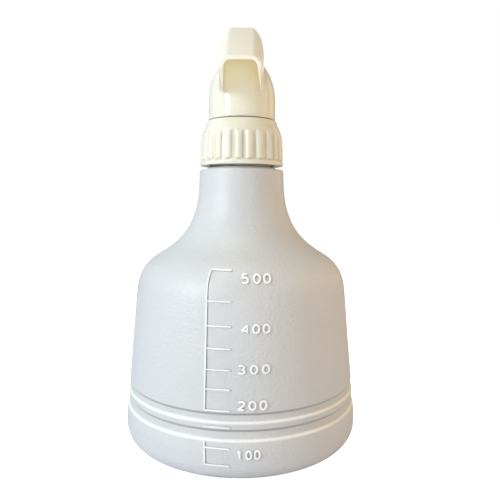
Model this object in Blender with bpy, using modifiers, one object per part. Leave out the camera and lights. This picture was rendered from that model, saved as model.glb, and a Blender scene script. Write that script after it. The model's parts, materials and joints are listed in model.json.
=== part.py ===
"""A graduated half-litre spray bottle with a trigger sprayer head.

The bottle stands on the origin with its axis on Z. The sprayer points along +Y and its tail along -Y. Every
length is in metres. The head is stacked on the neck: gasket, tube adapter, screw cap, pump body, shroud.
"""

import math

import bmesh
import bpy
from mathutils import Vector

# Clearance between pieces that touch on the real object
GAP = 0.0003

# Bottle body
BAND_RADIUS = 0.0508
HEEL_RADIUS = 0.008
BASE_RING_INNER = 0.030
PUSH_UP = 0.0025
BOTTLE_WALL = 0.0012
BAND_FALL = 0.0006
LOW_GROOVE_Z = 0.0169
LOW_GROOVE_HEIGHT = 0.0037
HIGH_GROOVE_Z = 0.0234
HIGH_GROOVE_HEIGHT = 0.0033
GROOVE_DEPTH = 0.0008
GROOVE_STEP = 0.0005
RING_INSET = 0.0010
WALL_TAPER = 0.0035
SHOULDER_Z = 0.065
LEDGE_Z = 0.1178
LEDGE_OVERHANG = 0.0004
LEDGE_EDGE = 0.0012

# Neck and thread
NECK_RADIUS = 0.0126
NECK_WALL = 0.0020
NECK_HEIGHT = 0.0167
NECK_ROUND = 0.0006
COLLAR_HEIGHT = 0.0009
COLLAR_LAND = 0.0006
THREAD_DEPTH = 0.0011
THREAD_WIDTH = 0.0019
THREAD_PITCH = 0.004233
THREAD_TURNS = 1.5
THREAD_END = 0.0025
CAP_THREAD_TURNS = 1.25

# Screw cap
CAP_WALL = 0.0036
CAP_WEB = 0.0012
CAP_SKIRT_GAP = 0.0008
CAP_CONE_HEIGHT = 0.0061
CAP_RIB_COUNT = 24
CAP_RIB_RADIUS = 0.0011
CAP_FLANGE_HEIGHT = 0.0021
CAP_FLANGE_REACH = 0.0003

# Gasket, tube adapter and dip tube
GASKET_HEIGHT = 0.0010
ADAPTER_FLANGE = 0.0012
ADAPTER_WALL = 0.0018
ADAPTER_SOCKET_DEPTH = 0.010
ADAPTER_STEM = 0.0055
ADAPTER_SHELF = 0.0008
INLET_SEAT_RISE = 0.0002
TUBE_RADIUS = 0.0024
TUBE_BORE = 0.0016
TUBE_FLOOR_GAP = 0.0016
STRAINER_HEIGHT = 0.009
STRAINER_WALL = 0.0012
BALL_RADIUS = 0.0018
BALL_PLAY = 0.0005
VENT_RADIUS = 0.0007

# Pump body
DOME_SETBACK = 0.0034
BODY_NECK_INSET = 0.0005
DOME_WALL = 0.0015
DOME_STRAIGHT = 0.0079
DOME_RISE = 0.0204
CYLINDER_Z = 0.0114
CYLINDER_BORE = 0.0056
CYLINDER_WALL = 0.0014
CYLINDER_BACK = 0.006
CYLINDER_FRONT = 0.0038
BARREL_RADIUS = 0.0038
BARREL_BORE = 0.0022
BARREL_SINK = 0.0016
BARREL_BACK = 0.0055
BARREL_FRONT = 0.0213
FEED_RADIUS = 0.0013
FEED_WALL = 0.0016
PLUG_LENGTH = 0.0022

# Piston, seals and return spring
PISTON_LENGTH = 0.0093
PISTON_SETBACK = 0.0015
PISTON_ROD = 0.0030
SEAL_DEPTH = 0.0015
SEAL_WIDTH = 0.0018
SEAL_LAND = 0.0006
SPRING_INSET = 0.0016
SPRING_WIRE = 0.00045
SPRING_TURNS = 5

# Trigger
PIVOT_Y = 0.0240
PIN_RADIUS = 0.0014
BOSS_RADIUS = 0.0030
BOSS_HALF_WIDTH = 0.0049
LUG_WIDTH = 0.0017
LUG_BRIDGE = 0.0020
PAD_AHEAD = 0.0030
TRIGGER_HALF_WIDTH = 0.0062
TRIGGER_WALL = 0.0018
TRIGGER_LIP = 0.0014
TRIGGER_CORNER = 0.0011
TRIGGER_DROP = 0.0415
TRIGGER_REACH = 0.0200

# Shroud
SHROUD_WALL = 0.0014
SHROUD_HALF_WIDTH = 0.0092
TAIL_HALF_WIDTH = 0.0078
SHROUD_CROWN = 0.0050
SHOULDER_DROP = 0.0088
SHOULDER_BEND = math.radians(64)
SHROUD_HEADROOM = 0.0035
SHROUD_ROOT = 0.0019
TAIL_LENGTH = 0.037
TAIL_DROP = 0.0212
TAIL_LIP = 0.0045
CREST_BACK = 0.004
CREST_EASE = 0.0035

# Nozzle
OUTLET_BALL = 0.0015
OUTLET_SEAT = 0.0010
OUTLET_SETBACK = 0.0120
OUTLET_COIL = 0.0013
OUTLET_WIRE = 0.0002
OUTLET_TURNS = 4
INSERT_LENGTH = 0.0035
NOZZLE_LAP = 0.0050
NOZZLE_WALL = 0.0009
NOZZLE_LENGTH = 0.0082
NOZZLE_TIP = 0.0036
TIP_LENGTH = 0.0036
NOZZLE_PITCH = 0.0020
NOZZLE_THREAD = 0.0006
NOZZLE_THREAD_WIDTH = 0.0009
NOZZLE_THREAD_START = 0.0022
NOZZLE_RIM = 0.0010
RING_SECTION = 0.0011
KNOB_HALF_WIDTH = 0.0072
KNOB_LENGTH = 0.0138
KNOB_CORNER = 0.0022
KNOB_CHAMFER = 0.0008
ORIFICE = 0.0004

CREAM = (0.86, 0.80, 0.62)
WHITE = (0.80, 0.79, 0.76)

# Levels up the stack
COLLAR_TOP = LEDGE_Z + COLLAR_HEIGHT
NECK_TOP = LEDGE_Z + NECK_HEIGHT
GASKET_BOTTOM = NECK_TOP + GAP
FLANGE_BOTTOM = GASKET_BOTTOM + GASKET_HEIGHT + GAP
FLANGE_TOP = FLANGE_BOTTOM + ADAPTER_FLANGE
WEB_BOTTOM = FLANGE_TOP + GAP
CAP_TOP = WEB_BOTTOM + CAP_WEB
CAP_BOTTOM = COLLAR_TOP + CAP_SKIRT_GAP
DOME_BOTTOM = CAP_TOP + GAP
DOME_CENTRE = DOME_BOTTOM + DOME_STRAIGHT
DOME_TOP = DOME_CENTRE + DOME_RISE
CYLINDER_AXIS = DOME_BOTTOM + CYLINDER_Z
BARREL_AXIS = DOME_TOP - BARREL_SINK + BARREL_RADIUS
SHROUD_TOP = BARREL_AXIS + BARREL_RADIUS + SHROUD_HEADROOM + SHROUD_WALL
PIVOT_Z = BARREL_AXIS - BARREL_RADIUS - GAP - BOSS_RADIUS

# Radii that follow from a fit
THREAD_CREST = NECK_RADIUS + THREAD_DEPTH
CAP_BORE = THREAD_CREST + 2 * GAP
CAP_RADIUS = CAP_BORE + CAP_WALL
LEDGE_RADIUS = CAP_RADIUS + LEDGE_OVERHANG
BODY_NECK_RADIUS = NECK_RADIUS - BODY_NECK_INSET
CAP_HOLE = BODY_NECK_RADIUS + GAP
DOME_RADIUS = CAP_RADIUS - DOME_SETBACK
ADAPTER_BORE = TUBE_RADIUS + GAP
ADAPTER_RADIUS = ADAPTER_BORE + ADAPTER_WALL
SOCKET_BORE = ADAPTER_RADIUS + GAP
STEM_TOP = FLANGE_TOP + ADAPTER_STEM
PISTON_RADIUS = CYLINDER_BORE - GAP
CYLINDER_RADIUS = CYLINDER_BORE + CYLINDER_WALL
CYLINDER_END = DOME_RADIUS + CYLINDER_FRONT
BARREL_END = DOME_RADIUS + BARREL_FRONT

# Places along the spray axis
PAD_Y = PIVOT_Y + PAD_AHEAD
ROD_TIP = PAD_Y - GAP
PISTON_FRONT = CYLINDER_END - PISTON_SETBACK
PISTON_BACK = PISTON_FRONT - PISTON_LENGTH
VALVE_SEAT_Y = BARREL_END - OUTLET_SETBACK
NOZZLE_BACK = BARREL_END - NOZZLE_LAP
NOZZLE_FACE = NOZZLE_BACK + NOZZLE_LENGTH
SHROUD_FRONT = NOZZLE_BACK - GAP
TIP_END = NOZZLE_FACE + TIP_LENGTH

parts = None
cutters = None


def clear_scene():
    """Remove every object and collection that is already there, then make the two collections."""
    global parts, cutters
    for old in list(bpy.data.objects):
        bpy.data.objects.remove(old, do_unlink=True)
    parts = bpy.data.collections.new("spray_bottle")
    cutters = bpy.data.collections.new("cutters")
    bpy.context.scene.collection.children.link(parts)
    bpy.context.scene.collection.children.link(cutters)


def place(name, mesh, colour=None, roughness=0.4):
    """Put a mesh in the scene: a part if it has a colour, otherwise a tool for the booleans."""
    piece = bpy.data.objects.new(name, mesh)
    if colour is None:
        cutters.objects.link(piece)
        piece.hide_render = True
        piece.display_type = "WIRE"
        return piece
    parts.objects.link(piece)
    material = bpy.data.materials.new(name)
    material.use_nodes = True
    shader = material.node_tree.nodes["Principled BSDF"]
    shader.inputs["Base Color"].default_value = (*colour, 1.0)
    shader.inputs["Roughness"].default_value = roughness
    mesh.materials.append(material)
    return piece


def along_y(piece):
    """Turn a piece that was made along Z so that it lies along +Y."""
    piece.rotation_euler = (-math.pi / 2, 0, 0)
    return piece


def turned(name, profile, colour=None, roughness=0.4, steps=32):
    """Turn a profile of (radius, height) points, which runs down its outer side, about Z."""
    mesh = bpy.data.meshes.new(name)
    edges = [(i, i + 1) for i in range(len(profile) - 1)]
    if profile[0][0] > 0:
        edges.append((len(profile) - 1, 0))
    mesh.from_pydata([(r, 0, z) for r, z in profile], edges, [])
    piece = place(name, mesh, colour, roughness)
    screw = piece.modifiers.new("turn", "SCREW")
    screw.steps = screw.render_steps = steps
    screw.use_merge_vertices = True
    screw.merge_threshold = 0.00001
    screw.use_smooth_shade = True
    return piece


def tube_profile(outer, inner, bottom, top):
    """The closed outline of a plain ring or tube."""
    return [(inner, bottom), (inner, top), (outer, top), (outer, bottom)]


def rod_profile(radius, bottom, top):
    """The outline of a plain solid rod, from axis to axis."""
    return [(0, top), (radius, top), (radius, bottom), (0, bottom)]


def box(name, low, high, colour=None, roughness=0.4):
    """A box between two corners."""
    mesh = bpy.data.meshes.new(name)
    shape = bmesh.new()
    bmesh.ops.create_cube(shape, size=1.0)
    for vertex in shape.verts:
        vertex.co = [a + (c + 0.5) * (b - a) for a, b, c in zip(low, high, vertex.co)]
    shape.to_mesh(mesh)
    shape.free()
    return place(name, mesh, colour, roughness)


def combine(target, tool, operation):
    """Cut a tool out of a piece, or join it to the piece."""
    boolean = target.modifiers.new(tool.name, "BOOLEAN")
    boolean.operation = operation
    boolean.object = tool
    boolean.solver = "EXACT"


def cut(target, *tools):
    for tool in tools:
        combine(target, tool, "DIFFERENCE")


def join(target, *tools):
    for tool in tools:
        combine(target, tool, "UNION")


def bezier(a, b, c, d, count):
    """Points along a cubic curve, without its first point."""
    points = []
    for i in range(1, count + 1):
        t = i / count
        weights = ((1 - t) ** 3, 3 * t * (1 - t) ** 2, 3 * t * t * (1 - t), t**3)
        points.append(tuple(sum(w * p[k] for w, p in zip(weights, (a, b, c, d))) for k in (0, 1)))
    return points


def arc(centre, radius, start, end, count):
    """Points on an arc in degrees, both ends included."""
    angles = [math.radians(start + (end - start) * i / count) for i in range(count + 1)]
    return [(centre[0] + radius * math.cos(a), centre[1] + radius * math.sin(a)) for a in angles]


def inset(points, distance):
    """Move a profile sideways by a wall's thickness, towards the axis."""
    moved = []
    for i, point in enumerate(points):
        before = Vector(points[max(i - 1, 0)])
        after = Vector(points[min(i + 1, len(points) - 1)])
        run = (after - before).normalized()
        moved.append((point[0] - run.y * distance, point[1] + run.x * distance))
    return moved


def helical_ridge(name, root, crest, width, pitch, turns, start, steps=20):
    """A screw thread's ridge: a trapezium carried up a right-hand helix, tapered away at both ends."""
    count = round(steps * turns)
    mesh = bpy.data.meshes.new(name)
    shape = bmesh.new()
    rings = []
    for i in range(count + 1):
        angle = 2 * math.pi * i / steps
        fade = min(1.0, 0.25 + 0.25 * min(i, count - i))
        tip = root + (crest - root) * fade
        height = start + pitch * i / steps
        corners = [(root, -width / 2), (tip, -width / 4), (tip, width / 4), (root, width / 2)]
        if crest < root:
            corners.reverse()
        across, along = math.cos(angle), math.sin(angle)
        rings.append([shape.verts.new((r * across, r * along, height + z)) for r, z in corners])
    for lower, upper in zip(rings, rings[1:]):
        for k in range(4):
            j = (k + 1) % 4
            shape.faces.new((lower[k], upper[k], upper[j], lower[j]))
    shape.faces.new(rings[0])
    shape.faces.new(rings[-1][::-1])
    bmesh.ops.recalc_face_normals(shape, faces=shape.faces)
    shape.to_mesh(mesh)
    shape.free()
    return place(name, mesh)


def groove(points, bottom, height, below, above):
    """Add a ring groove: a slope in over its lower edge, and a sharp step out at its upper edge."""
    points.append((below, bottom))
    points.append((below - GROOVE_DEPTH, bottom + GROOVE_DEPTH))
    points.append((above - GROOVE_DEPTH, bottom + height - GROOVE_STEP))
    points.append((above, bottom + height))


def body_outline(grooved):
    """The bottle's side from the base ring up to the ledge, with the ring grooves or without them."""
    points = [(BASE_RING_INNER, 0)]
    points += arc((BAND_RADIUS - HEEL_RADIUS, HEEL_RADIUS), HEEL_RADIUS, -90, 0, 5)
    ring = BAND_RADIUS - RING_INSET
    wall_foot = ring - GROOVE_STEP
    if grooved:
        points.append((BAND_RADIUS, (HEEL_RADIUS + LOW_GROOVE_Z) / 2))
        groove(points, LOW_GROOVE_Z, LOW_GROOVE_HEIGHT, BAND_RADIUS - BAND_FALL, ring)
        groove(points, HIGH_GROOVE_Z, HIGH_GROOVE_HEIGHT, ring, wall_foot)
    else:
        points.append((ring - GROOVE_DEPTH, LOW_GROOVE_Z))
    shoulder = (wall_foot - WALL_TAPER, SHOULDER_Z)
    points.append(shoulder)
    throat = LEDGE_RADIUS + 0.0003
    rise = LEDGE_Z - SHOULDER_Z
    span = shoulder[0] - throat
    bend = (throat + 0.55 * span, SHOULDER_Z + 0.341 * rise)
    lean = (0.24 * span, 0.08 * rise)
    points += bezier(
        shoulder,
        (shoulder[0] - 0.02 * span, SHOULDER_Z + 0.227 * rise),
        (bend[0] + 0.178 * span, bend[1] - 0.057 * rise),
        bend,
        6,
    )
    points += bezier(
        bend,
        (bend[0] - lean[0], bend[1] + lean[1]),
        (throat + 0.015 * span, bend[1] + 0.218 * rise),
        (throat, bend[1] + 0.53 * rise),
        6,
    )
    points.append((LEDGE_RADIUS, LEDGE_Z - LEDGE_EDGE))
    points.append((LEDGE_RADIUS - 0.3 * LEDGE_EDGE, LEDGE_Z - 0.3 * LEDGE_EDGE))
    points.append((LEDGE_RADIUS - LEDGE_EDGE, LEDGE_Z))
    return points


def make_bottle():
    """The blow-moulded bottle: body, ledge, transfer collar and a neck with its outside thread."""
    outside = body_outline(True)
    bore = NECK_RADIUS - NECK_WALL
    collar = CAP_BORE + COLLAR_LAND
    neck = [
        (collar, LEDGE_Z),
        (collar, COLLAR_TOP),
        (NECK_RADIUS, COLLAR_TOP),
        (NECK_RADIUS, NECK_TOP - NECK_ROUND),
        (NECK_RADIUS - NECK_ROUND, NECK_TOP),
    ]
    inside = inset(body_outline(False)[:-3], BOTTLE_WALL)
    inside = [(0, PUSH_UP + BOTTLE_WALL)] + inside
    inside += [(bore, LEDGE_Z - LEDGE_EDGE), (bore, NECK_TOP)]
    outline = inside + neck[::-1] + outside[::-1] + [(0, PUSH_UP)]
    bottle = turned("bottle", outline, WHITE, 0.45, steps=36)
    thread = helical_ridge(
        "neck_thread",
        NECK_RADIUS - 0.0006,
        THREAD_CREST,
        THREAD_WIDTH,
        THREAD_PITCH,
        THREAD_TURNS,
        NECK_TOP - THREAD_END - THREAD_TURNS * THREAD_PITCH,
    )
    join(bottle, thread)


def make_cap():
    """The ribbed screw cap, free to turn between the dome and the adapter's flange."""
    shoulder = CAP_TOP - CAP_CONE_HEIGHT
    rim = DOME_RADIUS + GAP
    flange = CAP_RADIUS + CAP_FLANGE_REACH
    flange_top = CAP_BOTTOM + CAP_FLANGE_HEIGHT
    skirt = CAP_RADIUS - CAP_RIB_RADIUS * 0.5
    outline = [
        (CAP_BORE, CAP_BOTTOM),
        (CAP_BORE, WEB_BOTTOM - 0.0004),
        (CAP_BORE - 0.0004, WEB_BOTTOM),
        (CAP_HOLE, WEB_BOTTOM),
        (CAP_HOLE, CAP_TOP),
        (rim, CAP_TOP),
        (rim + 0.0005, CAP_TOP - 0.0006),
        (skirt - 0.0008, shoulder + 0.0018),
        (skirt - 0.0001, shoulder),
        (skirt, flange_top),
        (flange - 0.0002, flange_top - 0.0001),
        (flange, CAP_BOTTOM + 0.0003),
        (flange - 0.0003, CAP_BOTTOM),
    ]
    cap = turned("screw_cap", outline, CREAM, 0.35, steps=48)
    ribs = bpy.data.meshes.new("cap_ribs")
    shape = bmesh.new()
    length = shoulder - flange_top + 0.0004
    for i in range(CAP_RIB_COUNT):
        angle = 2 * math.pi * (i + 0.5) / CAP_RIB_COUNT
        made = bmesh.ops.create_cone(
            shape,
            cap_ends=True,
            segments=8,
            radius1=CAP_RIB_RADIUS,
            radius2=CAP_RIB_RADIUS * 0.7,
            depth=length,
        )
        reach = CAP_RADIUS - CAP_RIB_RADIUS
        centre = Vector((reach * math.cos(angle), reach * math.sin(angle), flange_top - 0.0002 + length / 2))
        bmesh.ops.translate(shape, verts=made["verts"], vec=centre)
    shape.to_mesh(ribs)
    shape.free()
    join(cap, place("cap_ribs", ribs))
    thread_start = NECK_TOP - THREAD_END - (THREAD_TURNS + 0.5) * THREAD_PITCH
    thread = helical_ridge(
        "cap_thread",
        CAP_BORE + 0.0006,
        CAP_BORE - THREAD_DEPTH,
        THREAD_WIDTH,
        THREAD_PITCH,
        CAP_THREAD_TURNS,
        thread_start,
    )
    join(cap, thread)


def make_tube_parts():
    """Gasket, tube adapter with the inlet seat, dip tube, strainer and the inlet ball."""
    bore = NECK_RADIUS - NECK_WALL
    turned(
        "neck_gasket",
        tube_profile(THREAD_CREST - GAP, bore, GASKET_BOTTOM, GASKET_BOTTOM + GASKET_HEIGHT),
        (0.85, 0.85, 0.82),
        0.7,
    )
    socket_bottom = FLANGE_BOTTOM - ADAPTER_SOCKET_DEPTH
    shelf = FLANGE_BOTTOM - ADAPTER_SHELF
    seat = FLANGE_TOP + INLET_SEAT_RISE
    ball_bore = BALL_RADIUS + BALL_PLAY
    outline = [
        (ADAPTER_BORE, socket_bottom),
        (ADAPTER_BORE, shelf),
        (TUBE_BORE - 0.0004, shelf),
        (TUBE_BORE - 0.0004, seat),
        (ball_bore, seat + 0.0009),
        (ball_bore, STEM_TOP),
        (ADAPTER_RADIUS, STEM_TOP),
        (ADAPTER_RADIUS, FLANGE_TOP),
        (THREAD_CREST - GAP, FLANGE_TOP),
        (THREAD_CREST - GAP, FLANGE_BOTTOM),
        (ADAPTER_RADIUS, FLANGE_BOTTOM),
        (ADAPTER_RADIUS, socket_bottom),
    ]
    adapter = turned("tube_adapter", outline, WHITE, 0.4)
    vent_rod = rod_profile(VENT_RADIUS, FLANGE_BOTTOM - 0.001, FLANGE_TOP + 0.001)
    vent = turned("adapter_vent", vent_rod, steps=10)
    vent.location.x = (ADAPTER_RADIUS + bore) / 2
    cut(adapter, vent)
    tube_top = shelf - GAP
    strainer_floor = BOTTLE_WALL + PUSH_UP + TUBE_FLOOR_GAP
    tube_bottom = strainer_floor + STRAINER_WALL + GAP
    tube = tube_profile(TUBE_RADIUS, TUBE_BORE, tube_bottom, tube_top)
    turned("dip_tube", tube, (0.85, 0.86, 0.86), 0.25, 20)
    cup = TUBE_RADIUS + GAP
    strainer = turned(
        "strainer",
        [
            (0, strainer_floor + STRAINER_WALL),
            (cup, strainer_floor + STRAINER_WALL),
            (cup, strainer_floor + STRAINER_HEIGHT),
            (cup + STRAINER_WALL, strainer_floor + STRAINER_HEIGHT),
            (cup + STRAINER_WALL, strainer_floor),
            (0, strainer_floor),
        ],
        WHITE,
        0.4,
        20,
    )
    slot_top = strainer_floor + 0.55 * STRAINER_HEIGHT
    for i in range(2):
        slot = box(f"strainer_slot_{i}", (-0.01, -0.0007, -0.002), (0.01, 0.0007, slot_top - strainer_floor))
        slot.location.z = strainer_floor
        slot.rotation_euler.z = math.radians(45 + 90 * i)
        cut(strainer, slot)
    ball = ball_mesh("inlet_ball", BALL_RADIUS, (0.75, 0.75, 0.74))
    drop = BALL_RADIUS * 0.75
    ball.location.z = seat + drop + BALL_RADIUS * 0.55


def ball_mesh(name, radius, colour):
    """A valve ball."""
    mesh = bpy.data.meshes.new(name)
    shape = bmesh.new()
    bmesh.ops.create_uvsphere(shape, u_segments=16, v_segments=10, radius=radius)
    shape.to_mesh(mesh)
    shape.free()
    mesh.shade_smooth()
    return place(name, mesh, colour, 0.2)


def dome_points(radius, straight_from, rise, centre, count):
    """A dome's outer side from its crown down to its foot: a quarter ellipse and a straight skirt."""
    points = []
    for i in range(count + 1):
        angle = math.pi / 2 * (1 - i / count)
        points.append((radius * math.cos(angle), centre + rise * math.sin(angle)))
    points[0] = (0, centre + rise)
    points.append((radius, straight_from))
    return points


def make_pump_body():
    """The domed pump body: its cylinder, discharge barrel, riser socket and the trigger's lugs in one piece."""
    outer = dome_points(DOME_RADIUS, DOME_BOTTOM, DOME_RISE, DOME_CENTRE, 9)
    inner = dome_points(
        DOME_RADIUS - DOME_WALL, DOME_BOTTOM + DOME_WALL, DOME_RISE - DOME_WALL, DOME_CENTRE, 6
    )
    throat = BODY_NECK_RADIUS - DOME_WALL
    foot = [
        (BODY_NECK_RADIUS, DOME_BOTTOM),
        (BODY_NECK_RADIUS, WEB_BOTTOM),
        (throat, WEB_BOTTOM),
        (throat, DOME_BOTTOM + DOME_WALL),
    ]
    body = turned("pump_body", outer + foot + inner[::-1], CREAM, 0.3, steps=36)
    socket_top = STEM_TOP + GAP
    socket = turned("riser_socket", rod_profile(SOCKET_BORE + 0.0015, FLANGE_TOP + GAP, CYLINDER_AXIS))
    cylinder_back = -CYLINDER_BACK - CYLINDER_WALL
    cylinder = along_y(turned("cylinder_outside", rod_profile(CYLINDER_RADIUS, cylinder_back, CYLINDER_END)))
    cylinder.location.z = CYLINDER_AXIS
    column = turned("feed_column", rod_profile(FEED_RADIUS + FEED_WALL, CYLINDER_AXIS, BARREL_AXIS), steps=20)
    column.location.y = -CYLINDER_BACK + FEED_RADIUS + 0.0012
    barrel = along_y(turned("barrel_outside", rod_profile(BARREL_RADIUS, -BARREL_BACK, BARREL_END), steps=28))
    barrel.location.z = BARREL_AXIS
    join(body, socket, cylinder, column, barrel)
    lug_inner = BOSS_HALF_WIDTH + GAP
    lug_outer = lug_inner + LUG_WIDTH
    lug_reach = BOSS_RADIUS + 0.0004
    bridge_low = BARREL_AXIS - LUG_BRIDGE
    bridge = box(
        "lug_bridge",
        (-lug_outer, PIVOT_Y - lug_reach, bridge_low),
        (lug_outer, PIVOT_Y + lug_reach, BARREL_AXIS + 0.0002),
    )
    join(body, bridge)
    for side in (-1, 1):
        low, high = sorted((side * lug_inner, side * lug_outer))
        lug = box(
            f"lug_{side}",
            (low, PIVOT_Y - lug_reach, PIVOT_Z - BOSS_RADIUS),
            (high, PIVOT_Y + lug_reach, bridge_low + 0.001),
        )
        join(body, lug)
    riser_bore = turned("riser_bore", rod_profile(SOCKET_BORE, FLANGE_TOP - 0.001, socket_top))
    riser_way = turned("riser_way", rod_profile(FEED_RADIUS, socket_top - 0.001, CYLINDER_AXIS), steps=16)
    bore = along_y(turned("cylinder_bore", rod_profile(CYLINDER_BORE, -CYLINDER_BACK, CYLINDER_END + 0.001)))
    bore.location.z = CYLINDER_AXIS
    feed = turned("feed_way", rod_profile(FEED_RADIUS, CYLINDER_AXIS + 0.002, BARREL_AXIS), steps=16)
    feed.location.y = column.location.y
    rear, front = -BARREL_BACK - 0.001, BARREL_END + 0.001
    barrel_rear = along_y(turned("barrel_rear", rod_profile(BARREL_BORE, rear, 0.004), steps=20))
    barrel_way = along_y(turned("barrel_way", rod_profile(OUTLET_SEAT, 0, BARREL_END), steps=16))
    barrel_bore = along_y(turned("barrel_bore", rod_profile(BARREL_BORE, VALVE_SEAT_Y, front), steps=20))
    for way in (barrel_rear, barrel_way, barrel_bore):
        way.location.z = BARREL_AXIS
    vent_foot = CYLINDER_AXIS - CYLINDER_RADIUS - 0.001
    vent = turned("cylinder_vent", rod_profile(VENT_RADIUS, vent_foot, CYLINDER_AXIS))
    vent.location.y = DOME_RADIUS - DOME_WALL - 0.0025
    pin_hole = cross_rod("pin_hole", PIN_RADIUS + GAP, lug_outer + 0.001)
    cut(body, feed, barrel_rear, barrel_way, barrel_bore, vent, pin_hole, riser_bore, riser_way, bore)
    plug_rod = rod_profile(BARREL_BORE - GAP, -BARREL_BACK, -BARREL_BACK + PLUG_LENGTH)
    plug = along_y(turned("barrel_plug", plug_rod, CREAM, 0.35, 20))
    plug.location.z = BARREL_AXIS


def cross_rod(name, radius, half_length, colour=None, roughness=0.4):
    """A rod along X through the trigger's pivot."""
    rod = turned(name, rod_profile(radius, -half_length, half_length), colour, roughness, 20)
    rod.rotation_euler = (0, math.pi / 2, 0)
    rod.location = (0, PIVOT_Y, PIVOT_Z)
    return rod


def make_piston():
    """The piston with two seal grooves, its seals and the return spring behind it."""
    groove_floor = PISTON_RADIUS - SEAL_DEPTH
    land = PISTON_RADIUS - 0.0002
    first = PISTON_BACK + SEAL_LAND
    second = PISTON_FRONT - SEAL_LAND - SEAL_WIDTH - 2 * GAP
    outline = [(0, ROD_TIP)]
    outline += arc((0, ROD_TIP - PISTON_ROD), PISTON_ROD, 60, 0, 4)
    outline += [(PISTON_ROD, PISTON_FRONT), (land, PISTON_FRONT)]
    for start in (second, first):
        end = start + SEAL_WIDTH + 2 * GAP
        outline += [(land, end), (groove_floor, end), (groove_floor, start), (land, start)]
    outline += [(land, PISTON_BACK), (0, PISTON_BACK)]
    piston = along_y(turned("piston", outline, WHITE, 0.35, 24))
    piston.location.z = CYLINDER_AXIS
    for name, start in (("piston_seal", first), ("vent_seal", second)):
        ring = tube_profile(PISTON_RADIUS, groove_floor + GAP, start + GAP, start + GAP + SEAL_WIDTH)
        seal = along_y(turned(name, ring, (0.7, 0.7, 0.68), 0.6, 24))
        seal.location.z = CYLINDER_AXIS
    back, front = -CYLINDER_BACK + GAP, PISTON_BACK - GAP
    coil("return_spring", CYLINDER_BORE - SPRING_INSET, SPRING_WIRE, SPRING_TURNS, back, front, CYLINDER_AXIS)


def coil(name, radius, wire, turns, back, front, height):
    """A compression spring along Y."""
    path = bpy.data.curves.new(name + "_path", "CURVE")
    path.dimensions = "3D"
    path.bevel_depth = wire
    path.bevel_resolution = 2
    path.use_fill_caps = True
    spline = path.splines.new("POLY")
    count = 10 * turns
    spline.points.add(count)
    start, end = back + wire, front - wire
    for i, point in enumerate(spline.points):
        angle = 2 * math.pi * i / 10
        y = start + (end - start) * i / count
        point.co = (radius * math.cos(angle), y, height + radius * math.sin(angle), 1)
    guide = bpy.data.objects.new(name + "_path", path)
    cutters.objects.link(guide)
    bpy.context.view_layer.update()
    mesh = bpy.data.meshes.new_from_object(guide.evaluated_get(bpy.context.evaluated_depsgraph_get()))
    bpy.data.objects.remove(guide)
    shape = bmesh.new()
    shape.from_mesh(mesh)
    bmesh.ops.remove_doubles(shape, verts=shape.verts, dist=0.000001)
    bmesh.ops.recalc_face_normals(shape, faces=shape.faces)
    shape.to_mesh(mesh)
    shape.free()
    mesh.shade_smooth()
    return place(name, mesh, (0.6, 0.6, 0.62), 0.3)


def trigger_line():
    """Stations down the trigger's front face, as (y, z) points."""
    top = (PIVOT_Y + BOSS_RADIUS - 0.0006, PIVOT_Z + 0.0004)
    face = PAD_Y + TRIGGER_WALL
    knee = (face + 0.0012, CYLINDER_AXIS - 0.0065)
    tip = (PIVOT_Y + TRIGGER_REACH, PIVOT_Z - TRIGGER_DROP)
    points = [top]
    points += bezier(top, (face + 0.0010, PIVOT_Z - 0.002), (face - 0.0002, CYLINDER_AXIS), knee, 7)
    points += bezier(
        knee,
        (knee[0] + 0.0016, knee[1] - 0.007),
        (tip[0] - 0.0080, tip[1] + 0.0085),
        tip,
        8,
    )
    return points


def trigger_section(share):
    """The channel's cross section at a share of the way down: its outer side, then its inner side."""
    top_half = BOSS_HALF_WIDTH - GAP
    half = top_half + (TRIGGER_HALF_WIDTH - top_half) * min(1.0, max(0.0, (share - 0.12) * 5))
    lip = TRIGGER_WALL + TRIGGER_LIP * min(1.0, 0.15 + share * 2)
    corner = TRIGGER_CORNER
    ease = 0.3 * corner
    outer = [(-half, -lip), (-half, -corner), (-half + ease, -ease), (-half + corner, 0), (0, 0.0003)]
    outer += [(-x, depth) for x, depth in outer[-2::-1]]
    inner_half = half - TRIGGER_WALL
    inner = [(inner_half, -lip), (inner_half, -TRIGGER_WALL)]
    return outer + inner + [(-x, depth) for x, depth in inner[::-1]]


def make_trigger():
    """The trigger: a channel-shaped lever with a hub for the pin and a pad that pushes the piston rod."""
    line = trigger_line()
    mesh = bpy.data.meshes.new("trigger")
    shape = bmesh.new()
    rings = []
    for i, (y, z) in enumerate(line):
        before, after = line[max(i - 1, 0)], line[min(i + 1, len(line) - 1)]
        run = Vector((after[0] - before[0], after[1] - before[1])).normalized()
        section = trigger_section(i / (len(line) - 1))
        rings.append([shape.verts.new((x, y - run.y * d, z + run.x * d)) for x, d in section])
    for upper, lower in zip(rings, rings[1:]):
        for k in range(len(upper)):
            j = (k + 1) % len(upper)
            shape.faces.new((upper[k], upper[j], lower[j], lower[k]))
    shape.faces.new(rings[0][::-1])
    shape.faces.new(rings[-1])
    bmesh.ops.recalc_face_normals(shape, faces=shape.faces)
    shape.to_mesh(mesh)
    shape.free()
    trigger = place("trigger", mesh, CREAM, 0.3)
    hub = cross_rod("trigger_hub", BOSS_RADIUS, BOSS_HALF_WIDTH)
    pad = box(
        "rod_pad",
        (-PISTON_ROD, PAD_Y, CYLINDER_AXIS - PISTON_ROD),
        (PISTON_ROD, PAD_Y + TRIGGER_WALL + 0.0002, CYLINDER_AXIS + PISTON_ROD),
    )
    join(trigger, hub, pad)
    cut(trigger, cross_rod("trigger_bore", PIN_RADIUS + GAP, BOSS_HALF_WIDTH + 0.001))
    cross_rod("trigger_pin", PIN_RADIUS, BOSS_HALF_WIDTH + GAP + LUG_WIDTH, CREAM, 0.4)


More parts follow.
